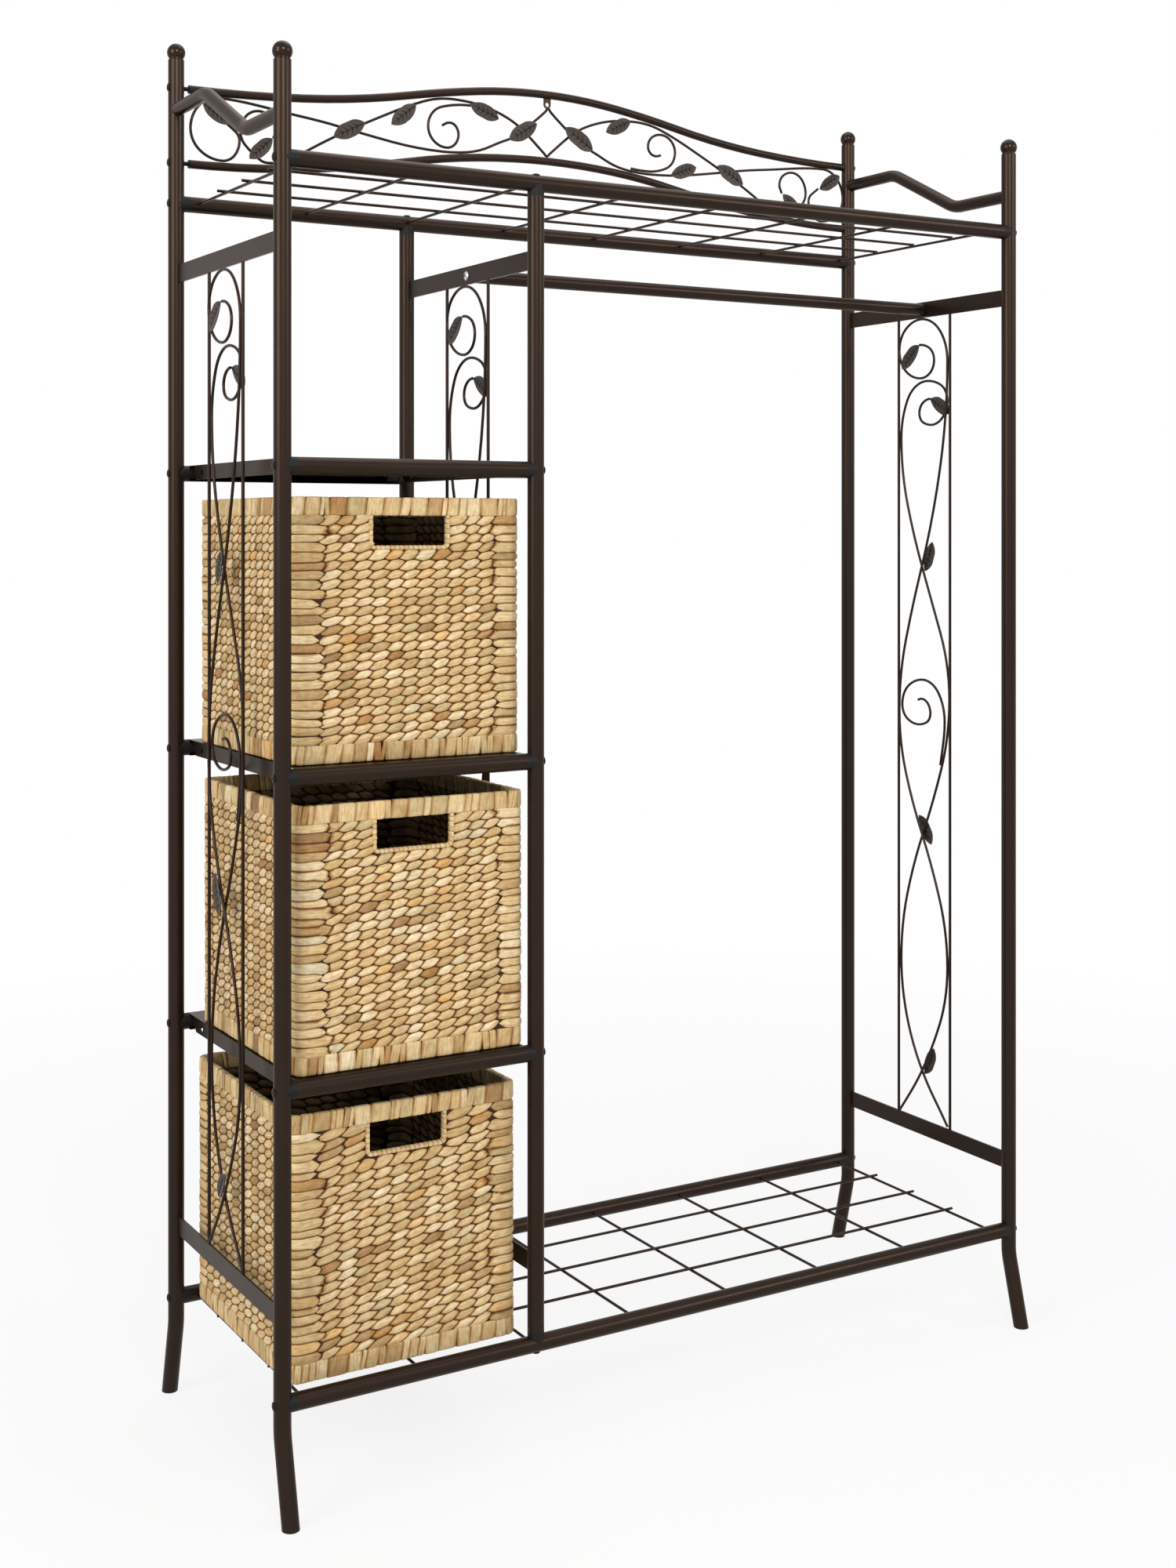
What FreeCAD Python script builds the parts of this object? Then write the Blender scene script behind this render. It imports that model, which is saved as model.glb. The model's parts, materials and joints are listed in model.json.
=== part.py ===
import FreeCAD, Part

# Wardrobe stand of bronze painted steel tube with three woven baskets, in millimetres.
# +Z is up, the front faces -Y, and the origin is on the floor under the middle of the stand.
# Every piece is its own solid, written as parts/NODE.step.

import math
import os

# Frame: the driving sizes
post_span = 1178.0              # corner post to corner post, centre to centre, along X
post_depth = 392.0              # front post to back post, centre to centre, along Y
post_diameter = 22.0
tube_wall = 1.0
basket_bay = 353.0              # left post to middle post, centre to centre
bottom_rail_height = 140.0
rail_rise = 1518.0              # bottom rail to top rail, centre to centre
front_post_above_rail = 119.0
back_post_above_rail = 199.0
shelf_count = 3                 # shelves share the rise of the basket bay
shelf_pitch = 381.0

# Fits
weld_gap = 0.1                  # welded and seated pieces of one body stay this far apart
plug_clearance = 0.15           # radial, plug in tube
seat_gap = 0.3                  # between pieces of different bodies
overrun = 5.0                   # how far a cutting tool runs past what it cuts

# Feet and finials
foot_splay = 27.0               # how far a foot stands out from its post
foot_bend_height = 105.0
foot_bend_radius = 80.0
foot_sole = 2.0
plug_length = 12.0
finial_ball_diameter = 25.3
finial_height = 23.0
finial_collar_height = 1.2
finial_neck_diameter = 19.4

# End pieces and bolts
saddle_length = 6.5             # the part of an end piece that shows between post and rail
saddle_spigot = 18.0
bolt_diameter = 6.0
bolt_bore_clearance = 0.2
bolt_head_diameter = 11.0
bolt_head_height = 2.2
bolt_head_skirt = 0.6
bolt_grip = 14.0                # how deep a bolt reaches into its end piece

# End frames: flat bars, wave handles, rods and scrolls
bar_height = 25.0
bar_thickness = 3.0
upper_bar_drop = 99.0           # below the top rail
lower_bar_rise = 103.0          # above the bottom rail
handle_diameter = 19.0
handle_front_rise = 55.5        # above the top rail
handle_back_rise = 129.5
handle_half_run = 74.0          # from the middle to each corner of the wave
handle_bend_radius = 65.0
rod_diameter = 4.5
rod_half_spacing = 62.5
scroll_wire_diameter = 4.0

# Gallery on the back posts
gallery_tube_diameter = 12.0
gallery_tube_wall = 1.0
gallery_play = 7.0              # all the room between the gallery and the posts, left at its left end
gallery_end_rise = 160.5        # upper tube above the top rail, at the posts
gallery_crown_rise = 218.0      # upper tube above the top rail, in the middle
gallery_lower_end_rise = 56.5
gallery_lower_crown_rise = 115.5
gallery_cap = 1.5
vine_wire_diameter = 4.0
eye_width = 12.0
eye_height = 15.0
eye_thickness = 2.0
eye_hole_diameter = 6.6

# Leaves
leaf_length = 50.0
leaf_width = 21.0
leaf_thickness = 1.2
leaf_fold = 1.6                 # how far the edges stand off the midrib

# Wire shelves
shelf_wire_diameter = 4.0
cross_wire_count = 8
cross_wire_inset = 29.0         # from the end posts' centres to the outer cross wires
long_wire_pitch = 92.0
long_wire_overhang = 7.0

# Clothes rail
clothes_rail_diameter = 19.0
clothes_rail_plug_length = 15.0
rail_screw_head_diameter = 13.0
rail_screw_head_height = 3.4
rail_screw_length = 16.0

# Sheet metal shelves
sheet = 0.9
roll_return = 8.0
flange_height = 20.0
flange_inset = 14.0             # from the roll to the flange's end
flange_chamfer = 7.0
flange_hole_diameter = 8.0
flange_pin_hole_diameter = 4.0
flange_hole_inset = 30.0
flange_pin_hole_inset = 22.0

# Baskets
basket_post_gap = 1.5           # between a basket's side and the middle posts
basket_side_gap = 8.5           # between a basket's other side and the left posts
basket_rail_gap = 14.0          # between the lowest basket and the rails it stands between
basket_headroom = 25.7          # between a basket and the shelf over it
basket_wall = 10.0
basket_floor = 9.0
basket_corner_radius = 16.0
basket_rim_height = 24.0
basket_rim_relief = 1.8         # how far the woven walls lie behind the wrapped rims
hand_hole_width = 97.0
hand_hole_height = 41.0
hand_hole_radius = 9.0
upper_basket_setback = 15.0     # behind the front posts' centres
middle_basket_setback = 4.0

# Sizes worked out from those above
post_radius = post_diameter / 2
post_bore = post_radius - tube_wall
half_span = post_span / 2
half_depth = post_depth / 2
middle_x = basket_bay - half_span
top_rail_height = bottom_rail_height + rail_rise
front_post_top = top_rail_height + front_post_above_rail
back_post_top = top_rail_height + back_post_above_rail
bolt_radius = bolt_diameter / 2
bolt_bore = bolt_radius + bolt_bore_clearance
upper_bar_height = top_rail_height - upper_bar_drop
lower_bar_height = bottom_rail_height + lower_bar_rise
shelf_heights = [bottom_rail_height + shelf_pitch * (shelf_count - step) for step in range(shelf_count)]
cross_wire_pitch = (post_span - 2 * cross_wire_inset) / (cross_wire_count - 1)
basket_width = basket_bay - post_diameter - basket_post_gap - basket_side_gap
basket_depth = post_depth - post_diameter - 2 * basket_rail_gap
basket_height = shelf_pitch - post_diameter - seat_gap - basket_headroom
basket_front_setback = (upper_basket_setback, middle_basket_setback, post_radius + basket_rail_gap)
frame_places = {"left": -half_span, "middle": middle_x, "right": half_span}
side_signs = (-1, 1)

x_axis = FreeCAD.Vector(1, 0, 0)
y_axis = FreeCAD.Vector(0, 1, 0)
z_axis = FreeCAD.Vector(0, 0, 1)


# Basic shapes

def at(x, y, z):
    return FreeCAD.Vector(x, y, z)


def cylinder(start, end, radius):
    """A round bar from one point to another."""
    along = end.sub(start)
    return Part.makeCylinder(radius, along.Length, start, along)


def tube(start, end, radius, wall):
    """A straight tube, open at both ends."""
    return cylinder(start, end, radius).cut(cylinder(start, end, radius - wall))


def box_between(low, high):
    """A box from its lowest corner to its highest corner."""
    size = high.sub(low)
    return Part.makeBox(size.x, size.y, size.z, low)


def turned(edges, base, axis):
    """A solid of revolution: edges run in the XZ plane from axis to axis, axis up, foot at the origin."""
    closing = Part.LineSegment(edges[-1].valueAt(edges[-1].LastParameter),
                               edges[0].valueAt(edges[0].FirstParameter)).toShape()
    face = Part.Face(Part.Wire(edges + [closing]))
    solid = face.revolve(at(0, 0, 0), z_axis, 360)
    solid.Placement = FreeCAD.Placement(base, FreeCAD.Rotation(z_axis, axis))
    return solid


def cap_arc(radius, low, high):
    """A round cap's section, from its rim up to the axis, on a circle centred on the axis."""
    rise = high - low
    sphere = (radius ** 2 + rise ** 2) / (2 * rise)
    half_angle = math.asin(radius / sphere) / 2
    middle = at(sphere * math.sin(half_angle), 0, high - sphere + sphere * math.cos(half_angle))
    return Part.Arc(at(radius, 0, low), middle, at(0, 0, high)).toShape()


def line(start, end):
    return Part.LineSegment(start, end).toShape()


# Paths in a plane: a point is (across, up) and place() puts it in space

def arc_edges(start, heading, end, place):
    """One arc from start, leaving along heading, to end; a straight edge where the arc is flat."""
    chord = (end[0] - start[0], end[1] - start[1])
    length = math.hypot(*chord)
    turn = math.atan2(chord[1], chord[0]) - heading
    turn = math.atan2(math.sin(turn), math.cos(turn))
    if abs(turn) < math.radians(0.05):
        return line(place(*start), place(*end)), heading
    sagitta = length / 2 * math.tan(turn / 2)
    middle = ((start[0] + end[0]) / 2 + sagitta * chord[1] / length,
              (start[1] + end[1]) / 2 - sagitta * chord[0] / length)
    return Part.Arc(place(*start), place(*middle), place(*end)).toShape(), heading + 2 * turn


def biarc_joint(start, start_heading, end, end_heading):
    """The point where two tangent arcs meet between two headed points."""
    chord = (end[0] - start[0], end[1] - start[1])
    first = (math.cos(start_heading), math.sin(start_heading))
    last = (math.cos(end_heading), math.sin(end_heading))
    both = (first[0] + last[0], first[1] + last[1])
    reach = chord[0] * both[0] + chord[1] * both[1]
    bend = 2 * (1 - first[0] * last[0] - first[1] * last[1])
    square = chord[0] ** 2 + chord[1] ** 2
    if bend < 1e-9:
        arm = square / (2 * reach)
    else:
        arm = (math.sqrt(reach ** 2 + bend * square) - reach) / bend
    return ((start[0] + end[0] + arm * (first[0] - last[0])) / 2,
            (start[1] + end[1] + arm * (first[1] - last[1])) / 2)


def scroll_path(stations, place):
    """A smooth wire through stations (across, up, heading in degrees), two tangent arcs to each span."""
    edges = []
    for (across, up, degrees), (next_across, next_up, next_degrees) in zip(stations, stations[1:]):
        start = (across, up)
        end = (next_across, next_up)
        heading = math.radians(degrees)
        joint = biarc_joint(start, heading, end, math.radians(next_degrees))
        edge, heading = arc_edges(start, heading, joint, place)
        edges.append(edge)
        edge, heading = arc_edges(joint, heading, end, place)
        edges.append(edge)
    return Part.Wire(edges)


def bend_path(corners, radius):
    """A wire through corner points in space, with each inner corner rounded to the radius."""
    edges = []
    start = corners[0]
    for before, corner, after in zip(corners, corners[1:], corners[2:]):
        back = before.sub(corner).normalize()
        ahead = after.sub(corner).normalize()
        half_turn = (math.pi - back.getAngle(ahead)) / 2
        setback = radius * math.tan(half_turn)
        arc_start = corner.add(back * setback)
        arc_end = corner.add(ahead * setback)
        centre_line = back.add(ahead).normalize()
        middle = corner.add(centre_line * (radius / math.cos(half_turn) - radius))
        edges.append(line(start, arc_start))
        edges.append(Part.Arc(arc_start, middle, arc_end).toShape())
        start = arc_end
    edges.append(line(start, corners[-1]))
    return Part.Wire(edges)


def swept(path, radius):
    """A round bar along a path."""
    first = path.OrderedEdges[0]
    start = first.valueAt(first.FirstParameter)
    tangent = first.tangentAt(first.FirstParameter)
    if start.distanceToPoint(path.OrderedVertexes[0].Point) > weld_gap:
        start = first.valueAt(first.LastParameter)
        tangent = first.tangentAt(first.LastParameter)
    profile = Part.Wire([Part.Circle(start, tangent, radius).toShape()])
    return path.makePipeShell([profile], True, False)


def swept_tube(path, radius, wall):
    return swept(path, radius).cut(swept(path, radius - wall))


# Posts, feet and finials

def post_path(x, front_sign, top):
    """A corner post's centre line, from below the floor, through the foot's bend, to its top."""
    y = front_sign * half_depth
    slope = foot_splay / foot_bend_height
    toe = at(x, y + front_sign * (foot_splay + slope * plug_length), -plug_length)
    return bend_path([toe, at(x, y, foot_bend_height), at(x, y, top)], foot_bend_radius)


def level_slice(low, high):
    """Everything between two heights."""
    reach = post_span + post_depth
    return box_between(at(-reach, -reach, low), at(reach, reach, high))


def bolt_hole(x, y, z):
    """A hole through a post along X."""
    reach = post_radius + overrun
    return cylinder(at(x - reach, y, z), at(x + reach, y, z), bolt_bore)


def corner_post(side, front_sign):
    x = side * half_span
    top = front_post_top if front_sign < 0 else back_post_top
    post = swept_tube(post_path(x, front_sign, top), post_radius, tube_wall)
    post = post.common(level_slice(foot_sole, top))
    heights = [bottom_rail_height, top_rail_height]
    if side < 0:
        heights += shelf_heights
    if front_sign > 0:
        heights += [top_rail_height + gallery_lower_end_rise, top_rail_height + gallery_end_rise]
    for height in heights:
        post = post.cut(bolt_hole(x, front_sign * half_depth, height))
    return post


def foot_plug(side, front_sign):
    """A plastic foot: a sole as wide as the tube and a spigot inside it."""
    path = post_path(side * half_span, front_sign, foot_bend_height + foot_bend_radius)
    sole = swept(path, post_radius).common(level_slice(0, foot_sole))
    spigot = swept(path, post_bore - plug_clearance).common(level_slice(foot_sole, foot_sole + plug_length))
    return sole.fuse(spigot).removeSplitter()


def finial(side, front_sign):
    """A ball on a narrow neck, with a collar on the tube's end and a spigot inside it."""
    ball = finial_ball_diameter / 2
    neck = finial_neck_diameter / 2
    spigot = post_bore - plug_clearance
    collar = post_radius
    centre = finial_height - ball
    neck_height = centre - math.sqrt(ball ** 2 - neck ** 2)
    edges = [line(at(0, 0, -plug_length), at(spigot, 0, -plug_length)),
             line(at(spigot, 0, -plug_length), at(spigot, 0, 0)),
             line(at(spigot, 0, 0), at(collar, 0, 0)),
             line(at(collar, 0, 0), at(neck, 0, finial_collar_height)),
             line(at(neck, 0, finial_collar_height), at(neck, 0, neck_height)),
             Part.Arc(at(neck, 0, neck_height), at(ball, 0, centre), at(0, 0, finial_height)).toShape()]
    top = front_post_top if front_sign < 0 else back_post_top
    return turned(edges, at(side * half_span, front_sign * half_depth, top), z_axis)


def middle_post(front_sign):
    y = front_sign * half_depth
    reach = post_radius + saddle_length
    post = tube(at(middle_x, y, bottom_rail_height + reach), at(middle_x, y, top_rail_height - reach),
                post_radius, tube_wall)
    for height in shelf_heights:
        post = post.cut(bolt_hole(middle_x, y, height))
    return post


# Rails and their end pieces

def rail(front_sign, height):
    """A cross rail between two corner posts, pierced upright for the middle post's bolt."""
    y = front_sign * half_depth
    end = half_span - post_radius - saddle_length
    bar = tube(at(-end, y, height), at(end, y, height), post_radius, tube_wall)
    reach = post_radius + overrun
    return bar.cut(cylinder(at(middle_x, y, height - reach), at(middle_x, y, height + reach), bolt_bore))


def saddle(centre, direction, carrier):
    """A plastic end piece on a round carrier through centre: a hollowed shoulder and a spigot in the tube."""
    shoulder_end = centre.add(direction * (post_radius + saddle_length))
    spigot_end = shoulder_end.add(direction * saddle_spigot)
    body = cylinder(centre, shoulder_end, post_radius)
    body = body.fuse(cylinder(centre, spigot_end, post_bore - plug_clearance))
    reach = carrier * (post_diameter + overrun)
    body = body.cut(cylinder(centre.sub(reach), centre.add(reach), post_radius + weld_gap))
    return body.cut(cylinder(centre, spigot_end, bolt_bore)).removeSplitter()


def bolt(centre, direction, carrier, head_diameter=bolt_head_diameter, head_height=bolt_head_height):
    """A round-headed bolt through a tube, its head hollowed to sit on the tube's far side."""
    head_radius = head_diameter / 2
    edges = [line(at(0, 0, -post_radius / 2), at(head_radius, 0, -post_radius / 2)),
             line(at(head_radius, 0, -post_radius / 2), at(head_radius, 0, bolt_head_skirt)),
             cap_arc(head_radius, bolt_head_skirt, head_height)]
    head = turned(edges, centre.sub(direction * post_radius), direction * -1)
    reach = carrier * post_diameter
    head = head.cut(cylinder(centre.sub(reach), centre.add(reach), post_radius + weld_gap))
    shank_end = centre.add(direction * (post_radius + saddle_length + bolt_grip))
    shank = cylinder(centre.sub(direction * (post_radius + weld_gap)), shank_end, bolt_radius)
    return head.fuse(shank).removeSplitter()


def rail_ends():
    """Every place where a rail meets a corner post: the post's axis point and the way the rail runs."""
    for height in (bottom_rail_height, top_rail_height):
        for front_sign in side_signs:
            for side in side_signs:
                yield at(side * half_span, front_sign * half_depth, height), x_axis * -side


def middle_post_ends():
    """Every place where a middle post meets a rail."""
    for front_sign in side_signs:
        yield at(middle_x, front_sign * half_depth, bottom_rail_height), z_axis
        yield at(middle_x, front_sign * half_depth, top_rail_height), z_axis * -1


def shelf_ends():
    """Every place where a sheet shelf's roll meets a post."""
    for height in shelf_heights:
        for front_sign in side_signs:
            yield at(-half_span, front_sign * half_depth, height), x_axis
            yield at(middle_x, front_sign * half_depth, height), x_axis * -1


# End frames

def flat_bar(x, height, screw_hole):
    """A flat bar from front post to back post, its ends hollowed to the posts."""
    bar = box_between(at(x - bar_thickness / 2, -half_depth, height - bar_height / 2),
                      at(x + bar_thickness / 2, half_depth, height + bar_height / 2))
    for front_sign in side_signs:
        y = front_sign * half_depth
        bar = bar.cut(cylinder(at(x, y, height - bar_height), at(x, y, height + bar_height),
                               post_radius + weld_gap))
    if screw_hole:
        bar = bar.cut(cylinder(at(x - bar_height, 0, height), at(x + bar_height, 0, height), bolt_bore))
    return bar


def wave_handle(x):
    """A tube from the front post to the higher back post, in two bends, with hollowed ends."""
    front_z = top_rail_height + handle_front_rise
    back_z = top_rail_height + handle_back_rise
    path = bend_path([at(x, -half_depth, front_z), at(x, -handle_half_run, front_z),
                      at(x, handle_half_run, back_z), at(x, half_depth, back_z)], handle_bend_radius)
    handle = swept_tube(path, handle_diameter / 2, tube_wall)
    for y, z in ((-half_depth, front_z), (half_depth, back_z)):
        handle = handle.cut(cylinder(at(x, y, z - post_diameter), at(x, y, z + post_diameter),
                                     post_radius + weld_gap))
    return handle


# Scroll panels: stations are (across share, up share, heading), up from the lower bar,
# across in shares of the rods' half spacing and towards the back

panel_low = lower_bar_height + bar_height / 2
panel_high = upper_bar_height - bar_height / 2
panel_rise = panel_high - panel_low
scroll_radius = scroll_wire_diameter / 2
scroll_offset = scroll_radius + weld_gap / 2       # each scroll wire lies this far beside the panel's plane
rod_touch = rod_diameter / 2 + scroll_radius + weld_gap
bulge = rod_half_spacing - math.sqrt(rod_touch ** 2 - scroll_offset ** 2)
bulge_share = bulge / rod_half_spacing
arch_top_share = (panel_rise - scroll_radius - weld_gap) / panel_rise
foot_share = (scroll_radius + weld_gap) / panel_rise

crossing_shares = (0.6855, 0.3583, 0.0577)
first_scroll_shares = (
    (0.13, 0.9665, 180), (-0.43, 0.9456, 270), (0.07, 0.9247, 0), (bulge_share, 0.9626, 90),
    (0.10, arch_top_share, 180), (-bulge_share, 0.9433, 270), (0.08, crossing_shares[0], 290),
    (bulge_share, 0.5073, 270), (0.06, crossing_shares[1], 243), (-bulge_share, 0.1975, 270),
    (0.08, crossing_shares[2], 302), (0.92, foot_share, 308))
second_scroll_shares = (
    (-0.19, 0.8984, 0), (0.22, 0.8814, 270), (-0.26, 0.8659, 180), (-0.86, 0.8946, 90),
    (-0.06, 0.9210, 0), (bulge_share, 0.8520, 270), (0.08, crossing_shares[0], 247),
    (-bulge_share, 0.5267, 270), (0.06, crossing_shares[1], 295), (bulge_share, 0.1936, 270),
    (0.08, crossing_shares[2], 236), (-0.87, foot_share, 231))
spiral_shares = (
    (-0.595, 0.4450, 101), (-0.76, 0.4990, 90), (0.08, 0.5483, 0), (0.90, 0.5151, 270),
    (0.29, 0.4918, 180), (-0.21, 0.5073, 90), (0.13, 0.5243, 0), (0.26, 0.5228, 340))
# leaves: the wire that carries it, then (across share, up share) of the base and of the tip
ring_leaf_shares = (("first", (0.10, 0.9660), (0.78, 0.9385)), ("second", (-0.16, 0.8985), (-0.90, 0.8790)))
crossing_leaf_shares = (
    ("second", (-0.23, 0.7205), (0.05, 0.6840)), ("second", (0.29, 0.3780), (-0.20, 0.3440)),
    ("second", (-0.29, 0.0915), (0.05, 0.0560)))
left_crossing_leaf_shares = (
    ("second", (0.17, 0.7146), (0.46, 0.6805)), ("first", (0.43, 0.3862), (0.12, 0.3443)),
    ("second", (0.00, 0.0849), (0.40, 0.0570)))


def panel_place(x):
    """Places panel points (across, up) in the plane at x."""
    def place(across, up):
        return at(x, across, up)
    return place


def panel_stations(shares):
    return [(across * rod_half_spacing, panel_low + up * panel_rise, heading)
            for across, up, heading in shares]


def panel_rods(x):
    return [cylinder(at(x, side * rod_half_spacing, panel_low), at(x, side * rod_half_spacing, panel_high),
                     rod_diameter / 2) for side in side_signs]


def panel_scrolls(x):
    """Two long wires that cross three times, and a spiral beside the second one."""
    first = swept(scroll_path(panel_stations(first_scroll_shares), panel_place(x - scroll_offset)),
                  scroll_radius)
    second = swept(scroll_path(panel_stations(second_scroll_shares), panel_place(x + scroll_offset)),
                   scroll_radius)
    spiral = swept(scroll_path(panel_stations(spiral_shares), panel_place(x + scroll_offset)),
                   scroll_radius)
    return [first, second, spiral]


def leaf(base, tip, outward):
    """A stamped leaf: a pointed oval folded along its midrib, the midrib lying on what carries it."""
    along = tip.sub(base)
    length = along.Length
    width = leaf_width * length / leaf_length
    half = width / 2
    shallow = half * math.sin(math.pi / 3)
    point = length / 8
    edges = [Part.Arc(at(0, 0, 0), at(point * 2, half * 0.8, 0), at(length / 2, half, 0)).toShape(),
             Part.Arc(at(length / 2, half, 0), at(length - point * 2, shallow, 0),
                      at(length, 0, 0)).toShape(),
             Part.Arc(at(length, 0, 0), at(length - point, -half * 0.6, 0),
                      at(length / 2, -half, 0)).toShape(),
             Part.Arc(at(length / 2, -half, 0), at(point, -half * 0.6, 0), at(0, 0, 0)).toShape()]
    outline = Part.Face(Part.Wire(edges)).extrude(at(0, 0, leaf_thickness + leaf_fold))
    fold = [at(0, 0, 0), at(0, half, leaf_fold), at(0, half, leaf_fold + leaf_thickness),
            at(0, 0, leaf_thickness), at(0, -half, leaf_fold + leaf_thickness), at(0, -half, leaf_fold)]
    roof = Part.Face(Part.makePolygon(fold + [fold[0]])).extrude(at(length, 0, 0))
    blade = roof.common(outline)
    along.normalize()
    across = outward.cross(along)
    blade.Placement = FreeCAD.Placement(FreeCAD.Matrix(along.x, across.x, outward.x, base.x,
                                                       along.y, across.y, outward.y, base.y,
                                                       along.z, across.z, outward.z, base.z))
    return blade


def panel_leaves(name):
    """One leaf in each ring and one on each crossing, on the outer side of the left frame."""
    carriers = {"first": frame_places[name] - scroll_offset, "second": frame_places[name] + scroll_offset}
    outer = -1 if name == "left" else 1
    crossings = left_crossing_leaf_shares if name == "left" else crossing_leaf_shares
    places = [(ring_leaf_shares[0], -1), (ring_leaf_shares[1], 1)]
    places += [(shares, outer) for shares in crossings]
    leaves = []
    for (carrier, base, tip), sign in places:
        plane = carriers[carrier] + sign * (scroll_radius + weld_gap)
        points = [at(plane, across * rod_half_spacing, panel_low + up * panel_rise)
                  for across, up in (base, tip)]
        leaves.append(leaf(points[0], points[1], x_axis * sign))
    return leaves


# Gallery: stations are (across share of the half span, up share of the crown's rise, heading)

gallery_radius = gallery_tube_diameter / 2
vine_radius = vine_wire_diameter / 2
vine_offset = vine_radius + weld_gap / 2
gallery_shift = gallery_play / 2 - weld_gap        # the gallery stands against the right post
gallery_tube_end = half_span - post_radius - gallery_play / 2 - gallery_cap

shoulder_share = 0.40
upper_shoulder_share = 0.875
lower_shoulder_share = 0.424
shoulder_slope = 11.5
crown_vine_shares = (
    (0.883, 0.5460, 218), (0.850, 0.4400, 270), (0.895, 0.3000, 0), (0.972, 0.4900, 90),
    (0.901, 0.7020, 180), (0.768, 0.6710, 188), (0.587, 0.6050, 190), (0.308, 0.5160, 180),
    (0.170, 0.5890, 153), (0.070, 0.7320, 137), (0.008, 0.8780, 137), (0.000, 0.8990, 180))
foot_vine_shares = (
    (0.761, 0.4850, 107), (0.753, 0.5480, 90), (0.797, 0.6520, 0), (0.845, 0.5050, 270),
    (0.806, 0.3550, 218), (0.778, 0.3205, 180), (0.718, 0.3530, 148), (0.640, 0.4800, 150),
    (0.510, 0.6650, 154), (0.357, 0.8500, 160), (0.275, 0.8890, 180), (0.170, 0.8560, 195),
    (0.070, 0.7290, 218), (0.010, 0.5900, 221), (0.000, 0.5690, 180))
left_spiral_shares = (
    (-0.225, 0.8600, 180), (-0.345, 0.6858, 270), (-0.294, 0.5505, 0),
    (-0.259, 0.6491, 90), (-0.283, 0.7248, 180), (-0.305, 0.6995, 218))
right_spiral_shares = (
    (0.256, 0.5435, 353), (0.307, 0.5366, 0), (0.397, 0.6950, 90),
    (0.351, 0.8142, 180), (0.310, 0.7179, 270), (0.334, 0.6537, 0),
    (0.350, 0.6628, 12))
# leaves: which vine carries them, then (across share, up share) of the base and of the tip
gallery_leaf_shares = (
    ("crown", (-0.036, 0.7821), (-0.118, 0.6491)), ("foot", (-0.228, 0.8693), (-0.145, 0.7867)),
    ("foot", (-0.381, 0.8142), (-0.449, 0.6628)), ("crown", (-0.524, 0.6491), (-0.608, 0.5344)),
    ("crown", (-0.878, 0.5344), (-0.943, 0.6583)), ("foot", (-0.765, 0.4794), (-0.824, 0.3326)),
    ("crown", (0.049, 0.7821), (0.133, 0.6353)), ("foot", (0.256, 0.8876), (0.179, 0.7867)),
    ("crown", (0.381, 0.5252), (0.463, 0.6032)), ("crown", (0.534, 0.6353), (0.619, 0.5115)),
    ("crown", (0.886, 0.5436), (0.957, 0.6628)), ("foot", (0.762, 0.4794), (0.821, 0.3326)))


def gallery_place(offset):
    """Places gallery points (across, up) in an upright plane beside the back posts' plane."""
    def place(across, up):
        return at(gallery_shift + across, half_depth + offset, up)
    return place


def gallery_stations(shares):
    return [(across * half_span, top_rail_height + up * gallery_crown_rise, heading)
            for across, up, heading in shares]


def mirrored(stations):
    """The other half of a symmetric wire, run through backwards."""
    return [(-across, up, -heading) for across, up, heading in reversed(stations[:-1])]


def gallery_tube(end_rise, crown_rise, at_shoulder_share):
    """A tube that leaves both posts level and swells to a crown in the middle."""
    shoulder = (-shoulder_share * half_span, top_rail_height + at_shoulder_share * gallery_crown_rise,
                shoulder_slope)
    half = [(-gallery_tube_end, top_rail_height + end_rise, 0), shoulder,
            (0, top_rail_height + crown_rise, 0)]
    path = scroll_path(half + mirrored(half), gallery_place(0))
    return swept_tube(path, gallery_radius, gallery_tube_wall)


def gallery_end_plug(side, rise):
    """A cap on a gallery tube's end with a threaded spigot inside it."""
    end = gallery_shift + side * gallery_tube_end
    height = top_rail_height + rise
    cap = cylinder(at(end, half_depth, height), at(end + side * gallery_cap, half_depth, height),
                   gallery_radius)
    spigot = cylinder(at(end - side * plug_length, half_depth, height), at(end, half_depth, height),
                      gallery_radius - gallery_tube_wall - plug_clearance)
    drill = cylinder(at(end - side * plug_length, half_depth, height),
                     at(end + side * overrun, half_depth, height), bolt_bore)
    return cap.fuse(spigot).cut(drill).removeSplitter()


def gallery_vine(shares, offset):
    """A symmetric vine wire: from the loop at one end, through the middle, to the loop at the other."""
    half = gallery_stations(shares)
    path = scroll_path(half + mirrored(half), gallery_place(offset))
    return swept(path, vine_radius)


def gallery_leaves():
    """Leaves lie in front of the wire that carries them."""
    planes = {"crown": half_depth - vine_offset - vine_radius - weld_gap,
              "foot": half_depth + vine_offset - vine_radius - weld_gap}
    leaves = []
    for carrier, base, tip in gallery_leaf_shares:
        points = [at(gallery_shift + across * half_span, planes[carrier],
                     top_rail_height + up * gallery_crown_rise)
                  for across, up in (base, tip)]
        leaves.append(leaf(points[0], points[1], y_axis * -1))
    return leaves


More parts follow.
